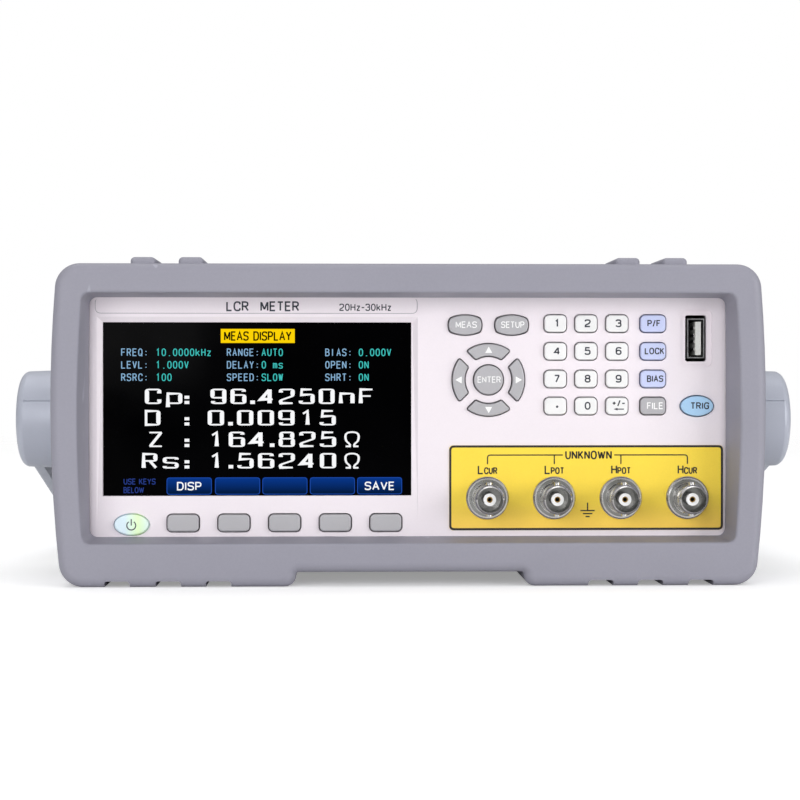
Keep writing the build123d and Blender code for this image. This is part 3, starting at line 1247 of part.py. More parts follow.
# ---------------------------------------------------------------- labels and export
named_parts = {
    "front_bumper": front_bumper.part,
    "rear_bumper": rear_bumper.part,
    "front_panel": front_panel.part,
    "display_window": display_window.part,
    "display_module": display_module.part,
    "keypad_mat": keypad_mat.part,
    "keypad_board": keypad_board.part,
    "terminal_label": terminal_label.part,
    "bnc_shells": bnc_shells.part,
    "bnc_insulators": bnc_insulators.part,
    "bnc_contacts": bnc_contacts.part,
    "bnc_nuts": bnc_nuts.part,
    "usb_socket": usb_socket.part,
    "top_cover": top_cover.part,
    "chassis": chassis.part,
    "pivot_bosses": pivot_bosses.part,
    "handle_grip": handle_grip.part,
    "rear_panel": rear_panel.part,
    "fan_housing": fan_housing.part,
    "fan_rotor": fan_rotor.part,
    "mains_inlet": mains_inlet.part,
    "fuse_drawer": fuse_drawer.part,
    "interface_ports": interface_ports.part,
    "main_board": main_board.part,
    "power_supply": power_supply.part,
    "board_standoffs": board_standoffs.part,
    "ribbon_cables": ribbon_cables.part,
    "case_screws": case_screws.part,
    **handle_arms,
    **key_parts,
}

os.makedirs("parts", exist_ok=True)
for node_name, node_part in named_parts.items():
    node_part.label = node_name
    export_step(node_part, f"parts/{node_name}.step")
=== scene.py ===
"""Looks for the bench LCR meter: materials, printed legends, screen content and small fittings."""

import json
import math

import bmesh
import bpy
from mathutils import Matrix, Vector


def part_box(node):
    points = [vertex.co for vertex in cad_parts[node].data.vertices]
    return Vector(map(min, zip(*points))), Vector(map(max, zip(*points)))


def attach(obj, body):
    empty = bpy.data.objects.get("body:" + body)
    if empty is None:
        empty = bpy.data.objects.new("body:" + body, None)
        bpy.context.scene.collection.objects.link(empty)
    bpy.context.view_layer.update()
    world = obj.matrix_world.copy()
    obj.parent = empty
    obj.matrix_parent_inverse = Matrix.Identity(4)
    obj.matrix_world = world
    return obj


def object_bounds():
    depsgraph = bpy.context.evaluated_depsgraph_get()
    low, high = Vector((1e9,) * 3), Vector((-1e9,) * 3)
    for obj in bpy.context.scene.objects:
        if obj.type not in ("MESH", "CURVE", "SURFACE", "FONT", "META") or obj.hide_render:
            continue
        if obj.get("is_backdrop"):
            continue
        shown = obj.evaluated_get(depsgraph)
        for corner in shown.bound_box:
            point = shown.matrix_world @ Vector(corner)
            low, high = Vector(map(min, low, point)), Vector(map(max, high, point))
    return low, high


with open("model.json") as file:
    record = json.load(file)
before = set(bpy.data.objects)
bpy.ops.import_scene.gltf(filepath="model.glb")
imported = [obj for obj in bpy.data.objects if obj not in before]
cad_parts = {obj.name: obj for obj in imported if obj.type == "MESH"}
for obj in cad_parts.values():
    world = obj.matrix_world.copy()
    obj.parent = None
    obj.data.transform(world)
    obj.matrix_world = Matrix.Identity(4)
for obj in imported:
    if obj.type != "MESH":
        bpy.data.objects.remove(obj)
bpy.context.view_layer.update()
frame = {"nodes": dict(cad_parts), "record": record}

MM = 0.001
LEGEND_LIFT = 0.03 * MM
LEGEND_SINK = 0.02 * MM


# ------------------------------------------------------------------ material building blocks
def srgb(red, green, blue):
    """Linear colour from 0-255 display values."""
    def linear(value):
        value /= 255
        return value / 12.92 if value <= 0.04045 else ((value + 0.055) / 1.055) ** 2.4
    return linear(red), linear(green), linear(blue), 1.0


def scaled(colour, factor):
    return tuple(min(1.0, channel * factor) for channel in colour[:3]) + (1.0,)


def grey(value):
    return value, value, value, 1.0


class Shader:
    """A node material with a Principled surface and a few shared building blocks."""

    def __init__(self, name):
        self.material = bpy.data.materials.new(name)
        self.material.use_nodes = True
        self.nodes = self.material.node_tree.nodes
        self.links = self.material.node_tree.links
        self.surface = self.nodes["Principled BSDF"]
        self.place = self.nodes.new("ShaderNodeTexCoord").outputs["Object"]

    def link(self, source, node, socket):
        self.links.new(source, node.inputs[socket])

    def stretched(self, stretch):
        """Object coordinates with scaled axes."""
        mapping = self.nodes.new("ShaderNodeMapping")
        mapping.inputs["Scale"].default_value = stretch
        self.link(self.place, mapping, "Vector")
        return mapping.outputs["Vector"]

    def noise(self, size_mm, detail=3.0, stretch=None):
        """Noise whose features are about size_mm across."""
        node = self.nodes.new("ShaderNodeTexNoise")
        node.inputs["Scale"].default_value = 1.0 / (size_mm * MM)
        node.inputs["Detail"].default_value = detail
        self.link(self.stretched(stretch) if stretch else self.place, node, "Vector")
        return node.outputs["Fac"]

    def ramp(self, source, low, high, start=0.3, end=0.7):
        """Colour ramp between two colours or grey values."""
        node = self.nodes.new("ShaderNodeValToRGB")
        node.color_ramp.elements[0].position = start
        node.color_ramp.elements[1].position = end
        for element, value in zip(node.color_ramp.elements, (low, high)):
            element.color = value if isinstance(value, tuple) else grey(value)
        self.link(source, node, "Fac")
        return node.outputs["Color"]

    def along(self, axis, low_m, high_m, stops):
        """Gradient along an object axis (0 X, 1 Y, 2 Z): evenly spaced colours between two places."""
        split = self.nodes.new("ShaderNodeSeparateXYZ")
        self.link(self.place, split, "Vector")
        span = self.nodes.new("ShaderNodeMapRange")
        span.inputs["From Min"].default_value = low_m
        span.inputs["From Max"].default_value = high_m
        self.links.new(split.outputs[axis], span.inputs["Value"])
        node = self.nodes.new("ShaderNodeValToRGB")
        elements = node.color_ramp.elements
        for index in range(1, len(stops) - 1):
            elements.new(index / (len(stops) - 1))
        for element, value in zip(elements, stops):
            element.color = value
        self.links.new(span.outputs["Result"], node.inputs["Fac"])
        return node.outputs["Color"]

    def mix(self, factor, low, high, blend="MIX"):
        node = self.nodes.new("ShaderNodeMix")
        node.data_type = "RGBA"
        node.blend_type = blend
        for socket, value in (("A", low), ("B", high)):
            target = next(i for i in node.inputs if i.name == socket and i.type == "RGBA")
            if isinstance(value, tuple):
                target.default_value = value
            else:
                self.links.new(value, target)
        if isinstance(factor, float):
            node.inputs["Factor"].default_value = factor
        else:
            self.links.new(factor, node.inputs["Factor"])
        return next(o for o in node.outputs if o.type == "RGBA")

    def bump(self, height, strength, depth_mm):
        node = self.nodes.new("ShaderNodeBump")
        node.inputs["Strength"].default_value = strength
        node.inputs["Distance"].default_value = depth_mm * MM
        self.link(height, node, "Height")
        return node.outputs["Normal"]

    def edge_mask(self, radius_mm):
        """Near 1 along edges, 0 on open faces."""
        bevel = self.nodes.new("ShaderNodeBevel")
        bevel.samples = 4
        bevel.inputs["Radius"].default_value = radius_mm * MM
        geometry = self.nodes.new("ShaderNodeNewGeometry")
        dot = self.nodes.new("ShaderNodeVectorMath")
        dot.operation = "DOT_PRODUCT"
        self.links.new(bevel.outputs["Normal"], dot.inputs[0])
        self.links.new(geometry.outputs["Normal"], dot.inputs[1])
        return self.ramp(dot.outputs["Value"], 1.0, 0.0, 0.80, 0.995)

    def scratches(self, spacing_mm, stretch):
        """Sparse thin marks: the crest of a drawn-out noise, broken up by a coarser one."""
        lines = self.ramp(self.noise(spacing_mm, 1.0, stretch), 0.0, 1.0, 0.695, 0.71)
        where = self.ramp(self.noise(spacing_mm * 3, 2.0), 0.0, 1.0, 0.52, 0.62)
        return self.mix(1.0, lines, where, "MULTIPLY")


def solid_finish(
    name, colour, roughness, *, metallic=0.0, variation=0.06, patch_mm=18.0, grain_mm=0.5,
    grain_depth_mm=0.02, grain_strength=0.3, edge_mm=0.0, edge_light=1.12, coat=0.0, stretch=None,
    subsurface=0.0, specular=0.5, scratch=None, gradient=None, lit=0.0,
):
    """Moulded, painted or metal finish: patchy tone, speckle, roughness drift, grain, and edges lightened
    partly as wear and partly as painted highlight.
    """
    shader = Shader(name)
    patches = shader.ramp(shader.noise(patch_mm, 4.0), grey(1 - 2 * variation), grey(1.0))
    speckle = shader.ramp(shader.noise(grain_mm * 1.7, 2.0, stretch), grey(1.0), grey(1 - 1.5 * variation))
    base = shader.along(*gradient) if gradient else scaled(colour, 1 + variation)
    tone = shader.mix(1.0, shader.mix(1.0, patches, base, "MULTIPLY"), speckle, "MULTIPLY")
    if edge_mm:
        # lighter edges: part wear, part painted highlight where light catches the rounded edges
        wear_and_highlight = shader.mix(shader.noise(2.5, 5.0), grey(0.3), shader.edge_mask(edge_mm))
        tone = shader.mix(shader.ramp(wear_and_highlight, 0.0, 1.0, 0.35, 0.9), tone, scaled(colour, edge_light))
    if scratch:
        tone = shader.mix(shader.scratches(*scratch), tone, scaled(colour, 1.25))
    shader.link(tone, shader.surface, "Base Color")
    drift = shader.noise(patch_mm * 0.4, 5.0)
    polish = shader.ramp(drift, max(0.02, roughness - 0.06), min(1.0, roughness + 0.06))
    shader.link(polish, shader.surface, "Roughness")
    shader.surface.inputs["Metallic"].default_value = metallic
    shader.surface.inputs["Coat Weight"].default_value = coat
    shader.surface.inputs["Coat Roughness"].default_value = 0.08
    shader.surface.inputs["Specular IOR Level"].default_value = specular
    if subsurface:
        shader.surface.inputs["Subsurface Weight"].default_value = subsurface
        shader.surface.inputs["Subsurface Radius"].default_value = (0.8 * MM, 0.8 * MM, 0.8 * MM)
    if lit:
        shader.link(base if gradient else tone, shader.surface, "Emission Color")
        shader.surface.inputs["Emission Strength"].default_value = lit
    grain = shader.bump(shader.noise(grain_mm, 3.0, stretch), grain_strength, grain_depth_mm)
    shader.link(grain, shader.surface, "Normal")
    return shader.material


def glow(name, colour, strength=1.0, variation=0.04, gradient=None):
    """Lit pixels, with a slight unevenness of the backlight."""
    shader = Shader(name)
    uneven = shader.ramp(shader.noise(25.0, 2.0), grey(1 - variation), grey(1.0))
    base = shader.along(*gradient) if gradient else colour
    shader.surface.inputs["Base Color"].default_value = (0.0, 0.0, 0.0, 1.0)
    shader.surface.inputs["Roughness"].default_value = 0.5
    shader.surface.inputs["Specular IOR Level"].default_value = 0.0
    shader.link(shader.mix(1.0, uneven, base, "MULTIPLY"), shader.surface, "Emission Color")
    shader.surface.inputs["Emission Strength"].default_value = strength
    return shader.material


def board_finish(name, mask_colour):
    """Solder mask over copper pours and fine tracks."""
    shader = Shader(name)
    cells = shader.nodes.new("ShaderNodeTexVoronoi")
    cells.feature = "DISTANCE_TO_EDGE"
    cells.distance = "EUCLIDEAN"
    cells.inputs["Scale"].default_value = 1.0 / (5.0 * MM)
    shader.link(shader.place, cells, "Vector")
    tracks = shader.ramp(cells.outputs["Distance"], 1.0, 0.0, 0.04, 0.07)
    mottled = shader.ramp(shader.noise(9.0, 4.0), scaled(mask_colour, 0.75), scaled(mask_colour, 1.2))
    shader.link(shader.mix(tracks, mottled, scaled(mask_colour, 1.9)), shader.surface, "Base Color")
    shader.link(shader.ramp(shader.noise(4.0), 0.28, 0.42), shader.surface, "Roughness")
    shader.surface.inputs["Coat Weight"].default_value = 0.4
    shader.link(shader.bump(tracks, 0.5, 0.05), shader.surface, "Normal")
    return shader.material


def ink(name, colour, roughness=0.5):
    """Screen-printed legend ink with fine coverage noise."""
    return solid_finish(
        name, colour, roughness, variation=0.03, patch_mm=3.0, grain_mm=0.12, grain_depth_mm=0.004
    )


def key_finish(name, colour, **extra):
    """Moulded key cap: satin, very fine grain, edges a little lighter as a painted highlight where edge_mm is
    given.
    """
    return solid_finish(
        name, colour, 0.36, variation=0.02, patch_mm=9, grain_mm=0.2, grain_depth_mm=0.006, **extra
    )


def metal_finish(name, colour, roughness, **extra):
    """Plated metal: clean, with faint drift in tone and polish."""
    settings = {
        "variation": 0.02, "patch_mm": 6, "grain_mm": 0.3, "grain_depth_mm": 0.002, "grain_strength": 0.05,
        **extra,
    }
    return solid_finish(name, colour, roughness, metallic=1.0, **settings)


# ------------------------------------------------------------------ materials of the CAD nodes
RUBBER_GREY = srgb(148, 147, 159)
PANEL_WHITE = srgb(238, 230, 236)
KEY_GREY = srgb(180, 179, 183)
LABEL_YELLOW = srgb(255, 222, 66)
LABEL_AMBER = srgb(255, 210, 84)
LIT_CYAN = srgb(214, 232, 240)
LIT_GREEN = srgb(222, 248, 196)

label_low, label_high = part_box("terminal_label")
power_low, power_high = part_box("power_button")

MATERIALS = {
    # lighter edges on the bumper: part wear, part painted highlight along its rounded edges
    "bumper_rubber": solid_finish(
        "bumper_rubber", RUBBER_GREY, 0.55, variation=0.02, patch_mm=30, grain_mm=0.45,
        grain_depth_mm=0.04, grain_strength=0.4, edge_mm=0.8, edge_light=1.18, specular=0.4,
        scratch=(5.0, (1.0, 1.0, 0.14)),
    ),
    "panel_plastic": solid_finish(
        "panel_plastic", PANEL_WHITE, 0.5, variation=0.012, patch_mm=40, grain_mm=0.3,
        grain_depth_mm=0.01, grain_strength=0.25, specular=0.35,
    ),
    "handle_plastic": solid_finish(
        "handle_plastic", srgb(180, 184, 197), 0.42, metallic=0.15, variation=0.02, patch_mm=22,
        grain_mm=0.25, grain_depth_mm=0.008, grain_strength=0.3, edge_mm=0.5, edge_light=1.15,
    ),
    "boss_plastic": solid_finish("boss_plastic", srgb(88, 90, 95), 0.5, grain_mm=0.4),
    "case_paint": solid_finish(
        "case_paint", srgb(198, 198, 197), 0.5, variation=0.02, patch_mm=60, grain_mm=0.9,
        grain_depth_mm=0.05, grain_strength=0.5, edge_mm=0.6, edge_light=1.1,
    ),
    "rear_paint": solid_finish(
        "rear_paint", srgb(186, 186, 185), 0.5, variation=0.02, patch_mm=45, grain_mm=0.9,
        grain_depth_mm=0.05, grain_strength=0.5, edge_mm=0.4, edge_light=1.15,
    ),
    "black_glass": solid_finish(
        "black_glass", srgb(2, 2, 3), 0.1, variation=0.2, patch_mm=60, grain_mm=6.0,
        grain_depth_mm=0.001, grain_strength=0.05, specular=0.02,
    ),
    "display_frame": solid_finish("display_frame", srgb(50, 50, 54), 0.5, metallic=0.6, grain_mm=0.8),
    # dark silicone; its dark colour also serves as painted shade in the gaps around the keys
    "silicone_mat": solid_finish("silicone_mat", srgb(40, 40, 44), 0.7, grain_mm=0.4, subsurface=0.1),
    "circuit_board": board_finish("circuit_board", srgb(28, 92, 54)),
    "label_yellow": solid_finish(
        "label_yellow", LABEL_YELLOW, 0.42, variation=0.02, patch_mm=14, grain_mm=0.35,
        grain_depth_mm=0.008, coat=0.1,
        gradient=(2, label_low.z, label_high.z, (LABEL_AMBER, LABEL_YELLOW, LABEL_YELLOW, LABEL_YELLOW)),
    ),
    "nickel": metal_finish("nickel", srgb(214, 213, 211), 0.14, variation=0.005),
    # darker nickel: painted shade for the jack bores and the groove round each flange
    "nickel_painted_shade": metal_finish("nickel_painted_shade", srgb(160, 160, 158), 0.3, variation=0.005),
    "ptfe": solid_finish("ptfe", srgb(250, 250, 250), 0.45, variation=0.01, grain_mm=0.3),
    "gold": metal_finish("gold", srgb(196, 158, 92), 0.28, patch_mm=2),
    "usb_steel": metal_finish("usb_steel", srgb(232, 232, 234), 0.2, patch_mm=3),
    "black_plastic": solid_finish(
        "black_plastic", srgb(40, 40, 42), 0.45, variation=0.1, grain_mm=0.35, edge_mm=0.5, edge_light=1.8
    ),
    "port_shell": metal_finish("port_shell", srgb(185, 184, 182), 0.3, edge_mm=0.3, edge_light=1.2),
    "screw_steel": metal_finish("screw_steel", srgb(165, 166, 170), 0.28, edge_mm=0.2, edge_light=1.2),
    "standoff_brass": metal_finish("standoff_brass", srgb(190, 160, 96), 0.3),
    "ribbon_grey": solid_finish(
        "ribbon_grey", srgb(170, 172, 178), 0.5, grain_mm=1.27, stretch=(1, 0.02, 0.02),
    ),
    # lighter edges: painted highlight on the key bevels
    "key_grey": key_finish("key_grey", KEY_GREY, edge_mm=0.3, edge_light=1.35),
    "key_white": key_finish("key_white", srgb(240, 240, 240), subsurface=0.15),
    "key_lavender": key_finish("key_lavender", srgb(202, 210, 244), subsurface=0.15),
    "key_blue": key_finish("key_blue", srgb(172, 210, 242), subsurface=0.2),
    "key_lit": key_finish(
        "key_lit", LIT_CYAN, subsurface=0.3, lit=0.16,
        gradient=(0, power_low.x, power_high.x, (LIT_CYAN, LIT_CYAN, LIT_GREEN, LIT_CYAN)),
    ),
}
INK_WHITE = ink("ink_white", srgb(250, 250, 250))
INK_DARK = ink("ink_dark", srgb(44, 48, 62))
INK_BLACK = ink("ink_black", srgb(32, 30, 26))
INK_PALE = ink("ink_pale", srgb(168, 166, 172))
INSULATOR_BLACK = solid_finish("insulator_black", srgb(26, 26, 28), 0.5, grain_mm=0.4)
INSULATOR_WHITE = solid_finish("insulator_white", srgb(232, 232, 228), 0.45, grain_mm=0.3)
BLACK_PACKAGE_AND_SHADE = solid_finish("black_package_and_shade", srgb(34, 34, 36), 0.55, grain_mm=0.3, variation=0.12)
LABEL_SILVER = metal_finish("label_silver", srgb(214, 216, 218), 0.42)
GLOW_WHITE = glow("glow_white", srgb(252, 253, 255))
GLOW_YELLOW = glow("glow_yellow", srgb(254, 212, 6))
GLOW_TEAL = glow("glow_teal", srgb(66, 196, 190))
GLOW_STEEL = glow("glow_steel", srgb(138, 180, 214))
GLOW_NAVY = glow("glow_navy", srgb(40, 60, 132))
GLOW_EDGE = glow("glow_edge", srgb(28, 74, 168))
GLOW_BLACK = glow("glow_black", srgb(10, 8, 2))

for part in frame["record"]["subparts"]:
    mesh = frame["nodes"][part["node"]].data
    mesh.materials.clear()
    mesh.materials.append(MATERIALS[part["material_slot"]])


def paint_faces(node, material, chosen):
    """Gives the faces of a CAD node whose centre passes the test their own material."""
    mesh = frame["nodes"][node].data
    mesh.materials.append(material)
    index = len(mesh.materials) - 1
    for polygon in mesh.polygons:
        if chosen(polygon.center):
            polygon.material_index = index


def middle_of(node):
    """Centre of a node's box."""
    low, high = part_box(node)
    return (low + high) / 2


usb_low, usb_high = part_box("usb_socket")
usb_middle = (usb_low + usb_high) / 2
SHELL_WALL = 0.2 * MM
TONGUE_X = usb_middle.x + 0.9 * MM
TONGUE_HALF = 0.925 * MM
TONGUE_HALF_HEIGHT = 5.6 * MM
paint_faces(
    "usb_socket", BLACK_PACKAGE_AND_SHADE,
    lambda c: abs(c.x - usb_middle.x) < usb_high.x - usb_middle.x - SHELL_WALL
    and abs(c.z - usb_middle.z) < usb_high.z - usb_middle.z - SHELL_WALL and c.y > usb_low.y + 0.1 * MM,
)
paint_faces(
    "usb_socket", INSULATOR_WHITE,
    lambda c: abs(c.x - TONGUE_X) < TONGUE_HALF + 0.03 * MM
    and abs(c.z - usb_middle.z) < TONGUE_HALF_HEIGHT and usb_low.y < c.y < usb_high.y - MM,
)
rear_low, rear_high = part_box("rear_panel")
REAR_Y = rear_high.y
PORT_FACE_Y = REAR_Y + 1.2 * MM
CONTACT_HOLE = 0.72 * MM
jack_middle = middle_of("bnc_shells")
JACK_PITCH = 22.0 * MM
jack_xs = [jack_middle.x + step * JACK_PITCH for step in (-1.5, -0.5, 0.5, 1.5)]
JACK_BORE = 4.2 * MM
JACK_GROOVE = (4.95 * MM, 6.2 * MM)
JACK_FLANGE = 1.45 * MM
BORE_START_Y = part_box("bnc_shells")[0].y + 0.5 * MM


def jack_radius(c):
    """Distance of a point from the axis of the nearest front jack."""
    return min(math.hypot(c.x - x, c.z - jack_middle.z) for x in jack_xs)


# Painted shade: the jack bores and the groove round each flange are given the darker nickel.
paint_faces("bnc_shells", MATERIALS["nickel_painted_shade"], lambda c: (
    jack_radius(c) < JACK_BORE and c.y > BORE_START_Y
    or JACK_GROOVE[0] < jack_radius(c) < JACK_GROOVE[1] and label_low.y - JACK_FLANGE < c.y < label_low.y
))
# Painted shade: the hole in each centre contact is coloured black to stand for the shade inside it.
CONTACT_START_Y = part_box("bnc_contacts")[0].y + 0.05 * MM
paint_faces("bnc_contacts", BLACK_PACKAGE_AND_SHADE, lambda c: c.y > CONTACT_START_Y and jack_radius(c) < CONTACT_HOLE)
paint_faces("interface_ports", INSULATOR_BLACK, lambda c: REAR_Y - 5 * MM < c.y < REAR_Y - 4 * MM)
for node in ("main_board", "power_supply"):
    component_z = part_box(node)[0].z + 1.7 * MM
    paint_faces(node, BLACK_PACKAGE_AND_SHADE, lambda c, level=component_z: c.z > level)


# ------------------------------------------------------------------ stroke lettering
# Each glyph: (width as a share of the capital height, strokes).  A stroke is a list of corners in a unit box;
# corners are rounded unless they carry a third value, and "loop" strokes close on themselves.
def loop(*points):
    return True, points


def line(*points):
    return False, points


def box_loop(left, low, right, high):
    return loop((left, low), (right, low), (right, high), (left, high))


GLYPHS = {
    "0": (0.58, [box_loop(0, 0, 1, 1)]),
    "1": (0.36, [line((0.1, 0.8), (0.62, 1, 0), (0.62, 0))]),
    "2": (0.58, [line((0, 0.78), (0, 1), (1, 1), (1, 0.52), (0, 0.22), (0, 0, 0), (1, 0))]),
    "3": (0.56, [line((0, 0.8), (0, 1), (0.95, 1), (0.95, 0.53), (0.35, 0.53)),
                 line((0.35, 0.53), (1, 0.53), (1, 0), (0, 0), (0, 0.2))]),
    "4": (0.62, [line((0.74, 0), (0.74, 1)), line((0.68, 0.97), (0, 0.28, 0), (1, 0.28))]),
    "5": (0.58, [line((0.92, 1), (0.08, 1, 0), (0.04, 0.6, 0), (1, 0.64), (1, 0), (0, 0), (0, 0.18))]),
    "6": (0.58, [box_loop(0, 0, 1, 0.6), line((0, 0.35), (0, 1), (0.95, 1), (0.95, 0.84))]),
    "7": (0.56, [line((0, 1), (1, 1)), line((0.97, 0.99), (0.3, 0))]),
    "8": (0.58, [box_loop(0, 0, 1, 0.54), box_loop(0.05, 0.54, 0.95, 1)]),
    "9": (0.58, [box_loop(0, 0.4, 1, 1), line((1, 0.65), (1, 0), (0.05, 0), (0.05, 0.16))]),
    "A": (0.68, [line((0, 0), (0.5, 1, 0), (1, 0)), line((0.19, 0.35), (0.81, 0.35))]),
    "B": (0.60, [
        loop((0, 0, 0), (1, 0), (1, 0.54), (0, 0.54, 0)),
        loop((0, 0.54, 0), (0.9, 0.54), (0.9, 1), (0, 1, 0)),
    ]),
    "C": (0.64, [line((1, 0.72), (1, 1), (0, 1), (0, 0), (1, 0), (1, 0.28))]),
    "D": (0.64, [loop((0, 0, 0), (1, 0), (1, 1), (0, 1, 0))]),
    "E": (0.54, [line((1, 1), (0, 1, 0), (0, 0, 0), (1, 0)), line((0, 0.53), (0.88, 0.53))]),
    "F": (0.52, [line((1, 1), (0, 1, 0), (0, 0)), line((0, 0.52), (0.85, 0.52))]),
    "G": (0.66, [line((1, 0.74), (1, 1), (0, 1), (0, 0), (1, 0), (1, 0.47, 0), (0.55, 0.47))]),
    "H": (0.62, [line((0, 0), (0, 1)), line((1, 0), (1, 1)), line((0, 0.52), (1, 0.52))]),
    "I": (0.02, [line((0.5, 0), (0.5, 1))]),
    "K": (0.60, [line((0, 0), (0, 1)), line((0.95, 1), (0, 0.36)), line((0.34, 0.6), (1, 0))]),
    "L": (0.52, [line((0, 1), (0, 0, 0), (1, 0))]),
    "M": (0.74, [
        line((0, 0), (0, 1)), line((1, 0), (1, 1)), line((0.04, 0.96), (0.5, 0.14)),
        line((0.5, 0.14), (0.96, 0.96)),
    ]),
    "N": (0.62, [line((0, 0), (0, 1)), line((1, 0), (1, 1)), line((0.05, 0.95), (0.95, 0.05))]),
    "O": (0.70, [box_loop(0, 0, 1, 1)]),
    "P": (0.58, [line((0, 0), (0, 1, 0), (1, 1), (1, 0.46), (0, 0.46))]),
    "Q": (0.70, [box_loop(0, 0, 1, 1), line((0.6, 0.28), (1.05, -0.08))]),
    "R": (0.62, [line((0, 0), (0, 1, 0), (0.95, 1), (0.95, 0.5), (0, 0.5)), line((0.5, 0.5), (1, 0))]),
    "S": (0.60, [line((1, 0.8), (1, 1), (0, 1), (0, 0.53), (1, 0.5), (1, 0), (0, 0), (0, 0.2))]),
    "T": (0.60, [line((0, 1), (1, 1)), line((0.5, 1), (0.5, 0))]),
    "U": (0.62, [line((0, 1), (0, 0), (1, 0), (1, 1))]),
    "V": (0.66, [line((0, 1), (0.5, 0.02)), line((0.5, 0.02), (1, 1))]),
    "W": (0.94, [
        line((0, 1), (0.26, 0.02)), line((0.26, 0.02), (0.5, 0.9)), line((0.5, 0.9), (0.74, 0.02)),
        line((0.74, 0.02), (1, 1)),
    ]),
    "Y": (0.64, [line((0, 1), (0.5, 0.48, 0), (1, 1)), line((0.5, 0.48), (0.5, 0))]),
    "Z": (0.58, [line((0, 1), (1, 1)), line((0.95, 1), (0.05, 0)), line((0, 0), (1, 0))]),
    "k": (0.50, [line((0, 0), (0, 1)), line((0.9, 0.7), (0, 0.27)), line((0.35, 0.45), (1, 0))]),
    "m": (0.78, [
        line((0, 0), (0, 0.7, 0), (0.5, 0.7), (0.5, 0)),
        line((0.5, 0.4), (0.5, 0.7), (1, 0.7), (1, 0)),
    ]),
    "n": (0.50, [line((0, 0), (0, 0.7, 0), (1, 0.7), (1, 0))]),
    "p": (0.52, [line((0, -0.28), (0, 0.7, 0), (1, 0.7), (1, 0), (0, 0))]),
    "s": (0.48, [line((1, 0.6), (1, 0.72), (0, 0.72), (0, 0.38), (1, 0.34), (1, 0), (0, 0), (0, 0.12))]),
    "z": (0.48, [line((0, 0.7), (1, 0.7)), line((0.94, 0.7), (0.06, 0)), line((0, 0), (1, 0))]),
    "/": (0.34, [line((0, -0.06), (1, 1.06))]),
    "+": (0.46, [line((0, 0.5), (1, 0.5)), line((0.5, 0.22), (0.5, 0.78))]),
    "-": (0.40, [line((0, 0.46), (1, 0.46))]),
    "Ω": (0.66, [line(
        (0.02, 0, 0), (0.34, 0, 0), (0.34, 0.16), (0, 0.4), (0, 1), (1, 1), (1, 0.4), (0.66, 0.16),
        (0.66, 0, 0),
        (0.98, 0, 0),
    )]),
    " ": (0.30, []),
}
DOTS = {".": (0.0,), ":": (0.12, 0.56)}
DOT_SWELL = 1.1
DOT_ASPECT = 1.5
WIDE_GLYPH = 0.5
CORNER_STEPS = 6
MITRE_LIMIT = 2.4


def soften(points, closed, radius):
    """Corners of a stroke turned into short curves, except those marked sharp."""
    path = []
    count = len(points)
    for i, point in enumerate(points):
        here = Vector(point[:2])
        inner = closed or 0 < i < count - 1
        if not inner or len(point) > 2:
            path.append(here)
            continue
        before = Vector(points[(i - 1) % count][:2]) - here
        after = Vector(points[(i + 1) % count][:2]) - here
        cut_before = before.normalized() * min(radius, before.length / 2)
        cut_after = after.normalized() * min(radius, after.length / 2)
        for step in range(CORNER_STEPS + 1):
            t = step / CORNER_STEPS
            path.append(here + cut_before * (1 - t) ** 2 + cut_after * t ** 2)
    clean = [path[0]]
    for point in path[1:]:
        if (point - clean[-1]).length > 1e-6:
            clean.append(point)
    if closed and (clean[0] - clean[-1]).length <= 1e-6:
        clean.pop()
    return clean


def pen_offset(normal, pen):
    """Half the stroke's thickness along a unit normal: pen[0] on upright strokes, pen[1] on level ones."""
    return normal * (pen[1] + (pen[0] - pen[1]) * abs(normal.x) ** 3)


def stroke_sides(path, closed, pen):
    """Left and right edge of a pen stroke along a path."""
    count = len(path)
    left, right = [], []
    for i, here in enumerate(path):
        ahead = path[(i + 1) % count] - here if closed or i < count - 1 else here - path[i - 1]
        behind = here - path[i - 1] if closed or i > 0 else ahead
        ahead, behind = ahead.normalized(), behind.normalized()
        tangent = ahead + behind
        tangent = tangent.normalized() if tangent.length > 1e-6 else ahead
        normal = Vector((-tangent.y, tangent.x))
        side = Vector((-ahead.y, ahead.x))
        reach = pen_offset(normal, pen) * min(MITRE_LIMIT, 1 / max(0.2, normal.dot(side)))
        left.append(here + reach)
        right.append(here - reach)
    return left, right


